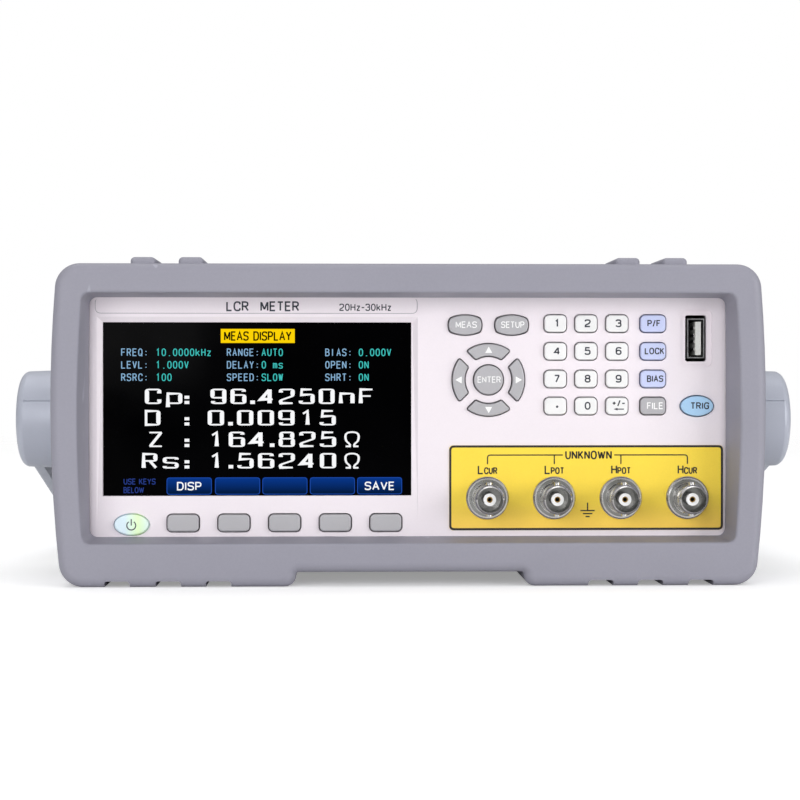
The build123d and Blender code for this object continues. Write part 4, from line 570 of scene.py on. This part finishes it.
# ------------------------------------------------------------------ flat pieces
class Layer:
    """Flat plates and lettering of one material on one body, on a face that looks along -Y or +Y."""

    def __init__(self, name, body, material, face_y, lift=LEGEND_LIFT, rear=False):
        self.name = name
        self.body = body
        self.material = material
        outward = 1 if rear else -1
        self.front_y = face_y + outward * lift
        self.back_y = face_y - outward * LEGEND_SINK
        self.bm = bmesh.new()

    def rings(self, rows):
        """Front and back vertices for rows of (x, z) points."""
        return [
            [tuple(self.bm.verts.new((x, y, z)) for y in (self.front_y, self.back_y)) for x, z in row]
            for row in rows
        ]

    def polygon(self, points):
        """Closed plate from an outline in (x, z) metres."""
        (row,) = self.rings([points])
        self.bm.faces.new([front for front, back in row])
        self.bm.faces.new([back for front, back in reversed(row)])
        for (front, back), (next_front, next_back) in zip(row, row[1:] + row[:1]):
            self.bm.faces.new((next_front, front, back, next_back))

    def ribbon(self, left, right, closed):
        """Closed strip between two edge lines, ended by caps or joined into a ring."""
        left_row, right_row = self.rings([left, right])
        count = len(left)
        for i in range(count if closed else count - 1):
            j = (i + 1) % count
            a, b, c, d = left_row[i], left_row[j], right_row[j], right_row[i]
            self.bm.faces.new((a[0], b[0], c[0], d[0]))
            self.bm.faces.new((d[1], c[1], b[1], a[1]))
            self.bm.faces.new((b[0], a[0], a[1], b[1]))
            self.bm.faces.new((d[0], c[0], c[1], d[1]))
        if not closed:
            for i in (0, -1):
                a, d = left_row[i], right_row[i]
                self.bm.faces.new((a[0], d[0], d[1], a[1]))

    def stroke(self, points, pen, closed=False, radius=0.0):
        """Pen stroke through (x, z) corners with rounded bends."""
        path = soften(points, closed, radius)
        left, right = stroke_sides(path, closed, pen)
        self.ribbon([tuple(p) for p in left], [tuple(p) for p in right], closed)

    def bar(self, start, end, width):
        """Straight stroke."""
        self.stroke([start, end], (width / 2, width / 2))

    def rectangle(self, low, high, corner=0.0):
        """Plate from its corners, optionally rounded."""
        points = [low, (high[0], low[1]), high, (low[0], high[1])]
        if corner:
            points = [tuple(p) for p in soften(points, True, corner)]
        self.polygon(points)

    def frame(self, low, high, corner, width):
        """Border line just inside a rounded rectangle."""
        half = width / 2
        points = [
            (low[0] + half, low[1] + half), (high[0] - half, low[1] + half),
            (high[0] - half, high[1] - half), (low[0] + half, high[1] - half),
        ]
        self.stroke(points, (half, half), closed=True, radius=corner)

    def arc(self, centre, radius, width, start, end, steps=40):
        """Ring sector between two angles in degrees."""
        angles = [math.radians(start + (end - start) * i / steps) for i in range(steps + 1)]
        edges = [
            [(centre[0] + reach * math.cos(t), centre[1] + reach * math.sin(t)) for t in angles]
            for reach in (radius + width / 2, radius - width / 2)
        ]
        self.ribbon(*edges, closed=False)

    def disc(self, centre, radius, steps=24):
        turns = [2 * math.pi * i / steps for i in range(steps)]
        self.polygon([(centre[0] + radius * math.cos(t), centre[1] + radius * math.sin(t)) for t in turns])

    def cells(self, words, cap, nib, spacing):
        """Left edge and width of each letter's centreline box in proportional setting."""
        boxes = []
        place = 0.0
        for letter in words:
            width = 0.0 if letter in DOTS else GLYPHS[letter][0] * cap
            boxes.append((place + nib, width))
            place += width + 2 * nib + spacing * cap
        return boxes

    def even_cells(self, words, nib, pitch, gap, dot_pitch):
        """Left edge and width of each letter's centreline box in steps of equal width."""
        boxes = []
        place = 0.0
        full = pitch - gap - 2 * nib
        for letter in words:
            share = min(1.0, GLYPHS[letter][0] / WIDE_GLYPH) if letter not in DOTS else 0.0
            step = dot_pitch if letter in DOTS else pitch
            inset = (step - gap) / 2 - nib if letter in DOTS else (full * (1 - share)) / 3
            boxes.append((place + nib + inset, full * share))
            place += step
        return boxes

    def text(
        self, words, centre, cap, *, width=None, align="CENTER", pen=(0.075, 0.075), spacing=0.14,
        round_share=0.42, pitch=None, gap=0.0, dot_pitch=None,
    ):
        """Stroke lettering with the given capital height.

        The pen is half its width and height as shares of the capital height.  A pitch sets even steps.
        """
        nib = (pen[0] * cap, pen[1] * cap)
        height = cap - 2 * nib[1]
        if pitch:
            boxes = self.even_cells(words, nib[0], pitch, gap, dot_pitch or pitch)
        else:
            boxes = self.cells(words, cap, nib[0], spacing)
        total = boxes[-1][0] + boxes[-1][1] + nib[0]
        squeeze = width / total if width else 1.0
        start = centre[0] - {"LEFT": 0.0, "CENTER": total * squeeze / 2}[align]
        base = centre[1] - height / 2
        for letter, (left, box_width) in zip(words, boxes):
            origin = start + left * squeeze
            reach = box_width * squeeze
            if letter in DOTS:
                for level in DOTS[letter]:
                    low = base - nib[1] + level * cap
                    dot = nib[0] * DOT_SWELL
                    self.rectangle((origin - dot, low), (origin + dot, low + dot * DOT_ASPECT))
                continue
            for closed, corners in GLYPHS[letter][1]:
                points = [(origin + c[0] * reach, base + c[1] * height) + tuple(c[2:]) for c in corners]
                self.stroke(points, nib, closed, round_share * cap)

    def finish(self):
        bmesh.ops.recalc_face_normals(self.bm, faces=self.bm.faces)
        mesh = bpy.data.meshes.new(self.name)
        self.bm.to_mesh(mesh)
        self.bm.free()
        mesh.materials.append(self.material)
        piece = bpy.data.objects.new(self.name, mesh)
        bpy.context.scene.collection.objects.link(piece)
        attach(piece, self.body)
        return piece


# ------------------------------------------------------------------ key legends
def key_layer(node, material):
    """Legend layer on a key's front face."""
    return Layer(f"{node}_legend", node, material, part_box(node)[0].y)


# node -> (words, capital height mm, width mm, material, shift to the right mm)
KEY_WORDS = {
    "meas_key": ("MEAS", 2.15, 6.9, INK_WHITE, 0.3),
    "setup_key": ("SETUP", 2.15, 7.6, INK_WHITE, 0.3),
    "enter_key": ("ENTER", 2.1, 7.6, INK_WHITE, 0.15),
    "file_key": ("FILE", 2.25, 5.3, INK_WHITE, 0.6),
    "pass_fail_key": ("P/F", 2.2, 4.3, INK_DARK, 0.2),
    "lock_key": ("LOCK", 2.2, 6.4, INK_DARK, 0.4),
    "bias_key": ("BIAS", 2.2, 5.3, INK_DARK, 0.6),
    "trigger_key": ("TRIG", 2.3, 6.1, INK_DARK, 0.8),
}
for digit in range(10):
    KEY_WORDS[f"digit_{digit}_key"] = (str(digit), 2.6, None, INK_DARK, 0.45)

KEY_WORD_RISE = 0.1 * MM
KEY_PENS = {INK_WHITE: (0.07, 0.07), INK_DARK: (0.088, 0.088)}
for node, (words, cap, width, material, shift) in KEY_WORDS.items():
    centre = middle_of(node)
    legend = key_layer(node, material)
    place = (centre.x + shift * MM, centre.z + KEY_WORD_RISE)
    legend.text(words, place, cap * MM, width=width and width * MM, pen=KEY_PENS[material])
    legend.finish()

point_middle = middle_of("point_key")
point = key_layer("point_key", INK_DARK)
point.disc((point_middle.x + 0.5 * MM, point_middle.z - 0.2 * MM), 0.4 * MM)
point.finish()

sign_middle = middle_of("sign_key")
sign = key_layer("sign_key", INK_DARK)
SIGN_PLACE = (sign_middle.x + 0.5 * MM, sign_middle.z + 0.95 * MM)
sign.text("+/-", SIGN_PLACE, 2.1 * MM, width=4.4 * MM, pen=(0.1, 0.1))
ARROW_Z = sign_middle.z - 1.0 * MM
ARROW_TIP_X = sign_middle.x - 1.2 * MM
ARROW_HEAD = 1.3 * MM
sign.bar((ARROW_TIP_X + ARROW_HEAD / 2, ARROW_Z), (ARROW_TIP_X + 3.4 * MM, ARROW_Z), 0.34 * MM)
sign.polygon([
    (ARROW_TIP_X, ARROW_Z),
    (ARROW_TIP_X + ARROW_HEAD, ARROW_Z - ARROW_HEAD / 3),
    (ARROW_TIP_X + ARROW_HEAD, ARROW_Z + ARROW_HEAD / 3),
])
sign.finish()

ENTER_MIDDLE = middle_of("enter_key")
ARROW_RADIUS = 9.9 * MM
ARROW_HALF = 1.15 * MM
for node, turn in (("up_key", 90), ("left_key", 180), ("down_key", 270), ("right_key", 0)):
    angle = math.radians(turn)
    out = Vector((math.cos(angle), math.sin(angle)))
    side = Vector((-out.y, out.x))
    middle = Vector((ENTER_MIDDLE.x, ENTER_MIDDLE.z)) + out * ARROW_RADIUS
    tip = middle + out * ARROW_HALF * 0.9
    base = middle - out * ARROW_HALF * 0.9
    arrow = key_layer(node, INK_WHITE)
    arrow.polygon([tuple(tip), tuple(base + side * ARROW_HALF), tuple(base - side * ARROW_HALF)])
    arrow.finish()

power_middle = middle_of("power_button")
power_centre = (power_middle.x, power_middle.z - 0.2 * MM)
power = key_layer("power_button", INK_DARK)
power.arc(power_centre, 1.45 * MM, 0.36 * MM, 125, 415)
power.bar(power_centre, (power_centre[0], power_centre[1] + 2.1 * MM), 0.36 * MM)
power.finish()


# ------------------------------------------------------------------ printing on the panel
panel_low, panel_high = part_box("front_panel")
STRIP_FACE_Y = panel_low.y + 0.35 * MM
STRIP_TEXT_Z = panel_high.z - 7.65 * MM
strip = Layer("name_strip_print", "root", INK_DARK, STRIP_FACE_Y)
STRIP_PLACE = (panel_low.x + 47.7 * MM, STRIP_TEXT_Z)
RANGE_PLACE = (panel_low.x + 84.7 * MM, STRIP_TEXT_Z - 0.3 * MM)
strip.text("LCR  METER", STRIP_PLACE, 3.3 * MM, width=23.8 * MM, align="LEFT", pen=(0.08, 0.08))
strip.text("20Hz-30kHz", RANGE_PLACE, 2.4 * MM, width=17.0 * MM, align="LEFT")
strip.finish()
STRIP_LOW = (panel_low.x + 4.9 * MM, panel_high.z - 10.05 * MM)
STRIP_HIGH = (panel_low.x + 110.3 * MM, panel_high.z - 4.65 * MM)
strip_border = Layer("name_strip_border", "root", INK_PALE, STRIP_FACE_Y)
strip_border.frame(STRIP_LOW, STRIP_HIGH, 1.9 * MM, 0.2 * MM)
strip_border.finish()

LABEL_Y = label_low.y
HEADING_Z = label_high.z - 3.2 * MM
NAME_Z = label_high.z - 8.0 * MM
heading_x = jack_middle.x + 0.3 * MM
terminal_print = Layer("terminal_print", "root", INK_BLACK, LABEL_Y)
terminal_print.frame((label_low.x, label_low.z), (label_high.x, label_high.z), 1.3 * MM, 0.72 * MM)
terminal_print.text("UNKNOWN", (heading_x, HEADING_Z), 2.9 * MM, width=15.3 * MM, pen=(0.088, 0.088))
BRACKET_DROP = 3.0 * MM
BRACKET_STROKE = 0.4 * MM
BRACKET_GAP = 8.5 * MM
for outer_x, inner_x, edge_x in (
    (jack_xs[0], jack_xs[1], heading_x - BRACKET_GAP),
    (jack_xs[3], jack_xs[2], heading_x + BRACKET_GAP),
):
    half_pen = (BRACKET_STROKE / 2, BRACKET_STROKE / 2)
    low_z = HEADING_Z - BRACKET_DROP
    terminal_print.stroke([(outer_x, low_z), (outer_x, HEADING_Z), (edge_x, HEADING_Z)], half_pen, radius=MM)
    terminal_print.bar((inner_x, HEADING_Z), (inner_x, low_z), BRACKET_STROKE)
# across, rise, capital height, width (mm) and pen of a jack's letter and of the small word after it
NAME_STYLES = ((-3.2, 0.0, 3.0, 1.9, 0.08), (-1.1, -0.35, 2.3, 4.3, 0.095))
for x, name in zip(jack_xs, (("L", "CUR"), ("L", "POT"), ("H", "POT"), ("H", "CUR"))):
    for words, (across, rise, cap, width, pen) in zip(name, NAME_STYLES):
        place = (x + across * MM, NAME_Z + rise * MM)
        terminal_print.text(words, place, cap * MM, width=width * MM, align="LEFT", pen=(pen, pen))


def earth_symbol(layer, x, z, size):
    """Three shrinking level strokes under a stem."""
    pen = 0.16 * size
    for level, half in enumerate((0.92, 0.6, 0.26)):
        low = z - level * 0.38 * size
        layer.bar((x - half * size, low), (x + half * size, low), pen)
    layer.bar((x, z), (x, z + size), pen)


earth_symbol(terminal_print, jack_middle.x, label_low.z + 6.4 * MM, 2.6 * MM)
terminal_print.finish()


# ------------------------------------------------------------------ screen content
window_low, window_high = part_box("display_window")
SCREEN_Y = window_low.y
GLASS_MARGIN = 1.8 * MM
SCREEN_LEFT, SCREEN_RIGHT = window_low.x + GLASS_MARGIN, window_high.x - GLASS_MARGIN
SCREEN_BOTTOM, SCREEN_TOP = window_low.z + GLASS_MARGIN, window_high.z - GLASS_MARGIN
SCREEN_WIDTH = SCREEN_RIGHT - SCREEN_LEFT
SCREEN_HEIGHT = SCREEN_TOP - SCREEN_BOTTOM


def on_screen(across, down):
    """Point on the screen from shares of its width and height, counted from the top left."""
    return SCREEN_LEFT + across * SCREEN_WIDTH, SCREEN_TOP - down * SCREEN_HEIGHT


header_bar = Layer("screen_header_bar", "root", GLOW_YELLOW, SCREEN_Y)
header_bar.rectangle(on_screen(0.381, 0.119), on_screen(0.621, 0.038))
header_bar.finish()
header_text = Layer("screen_header_text", "root", GLOW_BLACK, SCREEN_Y - LEGEND_LIFT)
header_text.text("MEAS DISPLAY", on_screen(0.501, 0.079), 3.1 * MM, width=22.0 * MM)
header_text.finish()

names = Layer("screen_names", "root", GLOW_STEEL, SCREEN_Y)
values = Layer("screen_values", "root", GLOW_TEAL, SCREEN_Y)
SMALL_CAP = 2.5 * MM
SMALL_PITCH = 1.85 * MM
SMALL_GAP = 0.42 * MM
NAME_COLUMNS = (0.0585, 0.4006, 0.720)
VALUE_COLUMNS = (0.171, 0.5134, 0.829)
SETTINGS = (
    (("FREQ:", "10.0000kHz"), ("RANGE:", "AUTO"), ("BIAS:", "0.000V")),
    (("LEVL:", "1.000V"), ("DELAY:", "0 ms"), ("OPEN:", "ON")),
    (("RSRC:", "100"), ("SPEED:", "SLOW"), ("SHRT:", "ON")),
)
for row, cells in enumerate(SETTINGS):
    down = 0.173 + row * 0.072
    for name_at, value_at, (name, value) in zip(NAME_COLUMNS, VALUE_COLUMNS, cells):
        small = {"align": "LEFT", "pen": (0.065, 0.06), "pitch": SMALL_PITCH, "gap": SMALL_GAP}
        names.text(name, on_screen(name_at, down), SMALL_CAP, **small)
        values.text(value, on_screen(value_at, down), SMALL_CAP, **small)
names.finish()
values.finish()

readings = Layer("screen_readings", "root", GLOW_WHITE, SCREEN_Y)
READING_CAP = 5.0 * MM
READING_STYLE = {
    "align": "LEFT", "pen": (0.138, 0.05), "pitch": 6.85 * MM, "gap": 1.45 * MM, "dot_pitch": 2.85 * MM,
    "round_share": 0.14,
}
READINGS = (
    ("Cp", 0.135, "96.4250nF", 0.3475, 53.8 * MM),
    ("D", 0.132, "0.00915", 0.3385, 42.0 * MM),
    ("Z", 0.143, "164.825", 0.3395, 42.0 * MM),
    ("Rs", 0.124, "1.56240", 0.3395, 42.0 * MM),
)
for row, (name, name_at, value, value_at, value_width) in enumerate(READINGS):
    down = 0.427 + row * 0.1240
    readings.text(name, on_screen(name_at, down), READING_CAP, **READING_STYLE)
    readings.text(value, on_screen(value_at, down), READING_CAP, width=value_width, **READING_STYLE)
    for level in (-2.0, -0.3):
        x, z = on_screen(0.271, down)
        readings.rectangle((x - 0.78 * MM, z + (level - 0.5) * MM), (x + 0.78 * MM, z + (level + 0.5) * MM))
    if row >= 2:
        omega_at = on_screen(0.781, down)
        readings.text(
            "Ω", omega_at, 5.2 * MM, width=5.3 * MM, align="LEFT", pen=(0.07, 0.05), round_share=0.5,
        )
readings.finish()

SOFT_LEFTS = (0.205, 0.3618, 0.5155, 0.670, 0.8237)
SOFT_WIDTH = 0.1465
SOFT_TOP, SOFT_LOW = 0.895, 0.994
soft_low_z, soft_high_z = on_screen(0, SOFT_LOW)[1], on_screen(0, SOFT_TOP)[1]
GLOW_SOFT = glow(
    "glow_soft", grey(0.5), gradient=(2, soft_low_z, soft_high_z, (srgb(4, 22, 44), srgb(10, 56, 140)))
)
soft_boxes = Layer("screen_soft_boxes", "root", GLOW_SOFT, SCREEN_Y)
soft_edges = Layer("screen_soft_edges", "root", GLOW_EDGE, SCREEN_Y - LEGEND_LIFT)
soft_text = Layer("screen_soft_text", "root", GLOW_WHITE, SCREEN_Y - 2 * LEGEND_LIFT)
for left, word in zip(SOFT_LEFTS, ("DISP", "", "", "", "SAVE")):
    low, high = on_screen(left, SOFT_LOW), on_screen(left + SOFT_WIDTH, SOFT_TOP)
    soft_boxes.rectangle(low, high, 1.0 * MM)
    soft_edges.frame(low, high, 1.0 * MM, 0.25 * MM)
    if word:
        soft_text.text(word, on_screen(left + SOFT_WIDTH / 2, 0.945), 2.8 * MM)
soft_boxes.finish()
soft_edges.finish()
soft_text.finish()
hints = Layer("screen_hints", "root", GLOW_NAVY, SCREEN_Y)
hints.text("USE KEYS", on_screen(0.066, 0.918), 2.0 * MM, align="LEFT", width=10.4 * MM)
hints.text("BELOW", on_screen(0.066, 0.967), 2.0 * MM, align="LEFT", width=6.6 * MM)
hints.finish()


# ------------------------------------------------------------------ small fittings in the CAD sockets
def make_piece(name, body, material, bm):
    """Finished mesh piece riding on a body."""
    bmesh.ops.recalc_face_normals(bm, faces=bm.faces)
    mesh = bpy.data.meshes.new(name)
    bm.to_mesh(mesh)
    bm.free()
    mesh.materials.append(material)
    piece = bpy.data.objects.new(name, mesh)
    bpy.context.scene.collection.objects.link(piece)
    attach(piece, body)
    return piece


def block(bm, low, high, bevel=0.0):
    """Box between two corners, optionally with bevelled edges."""
    centre = (Vector(low) + Vector(high)) / 2
    size = Vector(high) - Vector(low)
    verts = bmesh.ops.create_cube(bm, size=1.0)["verts"]
    for vert in verts:
        vert.co = centre + Vector(c * s for c, s in zip(vert.co, size))
    if bevel:
        edges = {edge for vert in verts for edge in vert.link_edges}
        bmesh.ops.bevel(bm, geom=list(edges), offset=bevel, segments=2, affect="EDGES", profile=0.5)


def turned(bm, x, z, profile, steps=20):
    """Solid of revolution about a line along Y: profile rows are (y, radius), closed by caps."""
    rings = []
    for y, radius in profile:
        turns = [2 * math.pi * i / steps for i in range(steps)]
        rings.append([bm.verts.new((x + radius * math.cos(t), y, z + radius * math.sin(t))) for t in turns])
    for near, far in zip(rings, rings[1:]):
        for i in range(steps):
            j = (i + 1) % steps
            bm.faces.new((near[i], near[j], far[j], far[i]))
    bm.faces.new(rings[0])
    bm.faces.new(list(reversed(rings[-1])))


def pin_profile(root_y, tip_y, radius):
    """Contact pin with a rounded tip."""
    reach = 1 if tip_y > root_y else -1
    return [
        (root_y, radius), (tip_y - reach * radius, radius), (tip_y - reach * radius * 0.4, radius * 0.8),
        (tip_y, radius * 0.35),
    ]


# contact springs of the front USB socket, on the tongue's left face
USB_CONTACT_LEVELS = (-3.5, -1.0, 1.0, 3.5)
contacts = bmesh.new()
for level in USB_CONTACT_LEVELS:
    z = usb_middle.z + level * MM
    left = TONGUE_X - TONGUE_HALF - 0.35 * MM
    block(
        contacts, (left, usb_low.y + 1.3 * MM, z - 0.5 * MM),
        (TONGUE_X - TONGUE_HALF + 0.05 * MM, usb_low.y + 9.0 * MM, z + 0.5 * MM), 0.12 * MM,
    )
make_piece("usb_contacts", "root", MATERIALS["port_shell"], contacts)

# pins of the rear sockets
ports_low, ports_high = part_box("interface_ports")
SERIAL_X, SERIAL_Z = ports_low.x + 36.0 * MM, ports_high.z - 6.25 * MM
HANDLER_X, HANDLER_Z = ports_low.x + 38.0 * MM, ports_high.z - 38.25 * MM
MOUTH_BACK_Y = PORT_FACE_Y - 6.0 * MM
pins = bmesh.new()
SERIAL_PITCH = 2.77 * MM
SERIAL_ROWS = ((2.35 * MM, 5), (-2.35 * MM, 4))
PIN_HALF_WIDTH = 0.5 * MM
PIN_SIDES = 12
serial_pin = pin_profile(MOUTH_BACK_Y - 0.3 * MM, PORT_FACE_Y - 0.6 * MM, PIN_HALF_WIDTH)
for rise, count in SERIAL_ROWS:
    for index in range(count):
        x = SERIAL_X + (index - (count - 1) / 2) * SERIAL_PITCH
        turned(pins, x, SERIAL_Z + rise, serial_pin, PIN_SIDES)
HANDLER_PITCH = 2.16 * MM
HANDLER_COUNT = 18
HANDLER_ROW_RISE = 1.575 * MM
HANDLER_FROM_Y, HANDLER_TO_Y = MOUTH_BACK_Y + 0.5 * MM, PORT_FACE_Y - 0.4 * MM
for index in range(HANDLER_COUNT):
    x = HANDLER_X + (index - (HANDLER_COUNT - 1) / 2) * HANDLER_PITCH
    for side in (-1, 1):
        z = HANDLER_Z + side * HANDLER_ROW_RISE
        low_z, high_z = sorted((z - side * 0.05 * MM, z + side * 0.25 * MM))
        low_corner = (x - PIN_HALF_WIDTH, HANDLER_FROM_Y, low_z)
        high_corner = (x + PIN_HALF_WIDTH, HANDLER_TO_Y, high_z)
        block(pins, low_corner, high_corner, 0.08 * MM)
make_piece("rear_port_pins", "root", MATERIALS["gold"], pins)

# plain printed discs and plates that carry no words
fan_low, fan_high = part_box("fan_rotor")
fan_middle = (fan_low + fan_high) / 2
FAN_LABEL_RADIUS = 10.5 * MM
fan_label = bmesh.new()
turned(
    fan_label, fan_middle.x, fan_middle.z,
    [(fan_high.y - 0.05 * MM, FAN_LABEL_RADIUS), (fan_high.y + 0.04 * MM, FAN_LABEL_RADIUS)], 48,
)
make_piece("fan_hub_label", "fan_rotor", LABEL_SILVER, fan_label)

PLATE_LOW = (rear_low.x + 7.5 * MM, rear_low.z + 2.15 * MM)
PLATE_HIGH = (rear_low.x + 51.5 * MM, rear_low.z + 9.15 * MM)
PLATE_CORNER = 0.8 * MM
PLATE_LIFT = 0.15 * MM
rear_plate = Layer("rear_rating_plate", "root", LABEL_SILVER, REAR_Y, lift=PLATE_LIFT, rear=True)
rear_plate.rectangle(PLATE_LOW, PLATE_HIGH, PLATE_CORNER)
rear_plate.finish()

INLET_X = middle_of("mains_inlet").x
INLET_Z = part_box("mains_inlet")[0].z + 16.5 * MM
INLET_PINS = [(INLET_X + dx * MM, INLET_Z + dz * MM) for dx, dz in ((-7.0, -1.5), (7.0, -1.5), (0.0, 2.5))]
INLET_PIN_HALF = (1.1 * MM, 2.1 * MM)
INLET_PIN_BACK_Y, INLET_PIN_TIP_Y = REAR_Y - 14.4 * MM, REAR_Y + 1.0 * MM
paint_faces(
    "mains_inlet", MATERIALS["port_shell"],
    lambda c: INLET_PIN_BACK_Y < c.y < INLET_PIN_TIP_Y and any(
        abs(c.x - x) < INLET_PIN_HALF[0] and abs(c.z - z) < INLET_PIN_HALF[1] for x, z in INLET_PINS
    ),
)


# ------------------------------------------------------------------ floor, light and camera
FLOOR_HALF_WIDTH = 60.0
FLOOR_NEAR, FLOOR_FAR = -20.0, 300.0
floor_mesh = bpy.data.meshes.new("studio_floor")
floor_mesh.from_pydata(
    [
        (-FLOOR_HALF_WIDTH, FLOOR_NEAR, 0), (FLOOR_HALF_WIDTH, FLOOR_NEAR, 0),
        (FLOOR_HALF_WIDTH, FLOOR_FAR, 0), (-FLOOR_HALF_WIDTH, FLOOR_FAR, 0),
    ], [], [(0, 1, 2, 3)],
)
FLOOR_SOLID, FLOOR_GONE = 0.4, 1.6
FLOOR_LIFT = 0.3


def floor_finish():
    """Matte white paper that fades into the white backdrop away from the object."""
    shader = Shader("studio_white")
    paper = shader.ramp(shader.noise(40.0), grey(0.93), grey(0.95))
    shader.link(paper, shader.surface, "Base Color")
    shader.surface.inputs["Roughness"].default_value = 0.95
    shader.surface.inputs["Specular IOR Level"].default_value = 0.0
    shader.surface.inputs["Emission Color"].default_value = grey(1.0)
    rays = shader.nodes.new("ShaderNodeLightPath")
    lift = shader.nodes.new("ShaderNodeMath")
    lift.operation = "MULTIPLY"
    lift.inputs[1].default_value = FLOOR_LIFT
    shader.link(rays.outputs["Is Camera Ray"], lift, 0)
    shader.link(lift.outputs["Value"], shader.surface, "Emission Strength")
    distance = shader.nodes.new("ShaderNodeVectorMath")
    distance.operation = "LENGTH"
    shader.link(shader.place, distance, 0)
    fade = shader.nodes.new("ShaderNodeMapRange")
    fade.inputs["From Min"].default_value = FLOOR_SOLID
    fade.inputs["From Max"].default_value = FLOOR_GONE
    shader.link(distance.outputs["Value"], fade, "Value")
    clear = shader.nodes.new("ShaderNodeBsdfTransparent")
    blend = shader.nodes.new("ShaderNodeMixShader")
    shader.link(fade.outputs["Result"], blend, "Fac")
    shader.link(shader.surface.outputs["BSDF"], blend, 1)
    shader.link(clear.outputs["BSDF"], blend, 2)
    shader.link(blend.outputs["Shader"], shader.nodes["Material Output"], "Surface")
    return shader.material


floor_mesh.materials.append(floor_finish())
floor = bpy.data.objects.new("studio_floor", floor_mesh)
bpy.context.scene.collection.objects.link(floor)
floor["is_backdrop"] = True


def area_light(name, place, target, size, power, colour=(1.0, 1.0, 1.0)):
    """Rectangular softbox aimed at a point."""
    data = bpy.data.lights.new(name, "AREA")
    data.shape = "RECTANGLE"
    data.size, data.size_y = size
    data.energy = power
    data.color = colour
    lamp = bpy.data.objects.new(name, data)
    lamp.location = place
    lamp.rotation_mode = "QUATERNION"
    lamp.rotation_quaternion = (Vector(target) - Vector(place)).to_track_quat("-Z", "Y")
    bpy.context.scene.collection.objects.link(lamp)


area_light("key_softbox", (-0.7, -1.6, 0.45), (0, -0.1, 0.05), (1.2, 0.8), 10.8)
area_light("fill_softbox", (1.4, -1.2, 0.3), (0, -0.1, 0.05), (1.0, 0.8), 13)
area_light("top_softbox", (-0.2, 0.2, 1.8), (0, 0, 0.05), (1.6, 1.6), 9)

# the room is dim below and in front, brighter overhead; the camera alone sees a white backdrop
ROOM_LEVELS = (grey(0.24), grey(0.34), grey(0.62))
# mirror reflections see the same room with its dim parts nearly black, so metal reads as metal
MIRROR_LEVELS = (grey(0.04), grey(0.10), grey(1.0))
BACKDROP = grey(1.0)
world = bpy.data.worlds.new("studio")
bpy.context.scene.world = world
world.use_nodes = True
world_nodes = world.node_tree.nodes
world_links = world.node_tree.links


def colour_socket(sockets, name):
    """The colour socket of a mix node, which has sockets of the same name for other types too."""
    return next(socket for socket in sockets if socket.name == name and socket.type == "RGBA")


def sky_levels(levels):
    """Brightness of the room from below, through the horizon, to overhead."""
    ramp = world_nodes.new("ShaderNodeValToRGB")
    ramp.color_ramp.elements.new(0.5)
    for element, level in zip(ramp.color_ramp.elements, levels):
        element.color = level
    world_links.new(span.outputs["Result"], ramp.inputs["Fac"])
    return ramp.outputs["Color"]


def sky_choice(ray_kind, otherwise):
    """Mix node that swaps the room's colour for rays of one kind; its B input is left for the caller."""
    node = world_nodes.new("ShaderNodeMix")
    node.data_type = "RGBA"
    world_links.new(rays.outputs[ray_kind], node.inputs["Factor"])
    world_links.new(otherwise, colour_socket(node.inputs, "A"))
    return node


direction = world_nodes.new("ShaderNodeTexCoord")
height = world_nodes.new("ShaderNodeSeparateXYZ")
world_links.new(direction.outputs["Generated"], height.inputs["Vector"])
span = world_nodes.new("ShaderNodeMapRange")
span.inputs["From Min"].default_value = -1.0
world_links.new(height.outputs["Z"], span.inputs["Value"])
rays = world_nodes.new("ShaderNodeLightPath")
seen = sky_choice("Is Glossy Ray", sky_levels(ROOM_LEVELS))
world_links.new(sky_levels(MIRROR_LEVELS), colour_socket(seen.inputs, "B"))
choice = sky_choice("Is Camera Ray", colour_socket(seen.outputs, "Result"))
colour_socket(choice.inputs, "B").default_value = BACKDROP
world_links.new(colour_socket(choice.outputs, "Result"), world_nodes["Background"].inputs["Color"])

camera_data = bpy.data.cameras.new("camera")
camera_data.sensor_width = 36.0
camera_data.lens = 87.05
camera_data.clip_start = 0.01
camera_data.clip_end = 400.0
camera = bpy.data.objects.new("camera", camera_data)
camera.location = Vector((-23.0, -801.3, 66.6)) * MM
camera.rotation_euler = (math.radians(90 - 0.595), 0.0, math.radians(-1.81))
bpy.context.scene.collection.objects.link(camera)
bpy.context.scene.camera = camera

bpy.context.scene.view_settings.view_transform = "Standard"
bpy.context.scene.cycles.use_denoising = True

low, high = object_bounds()
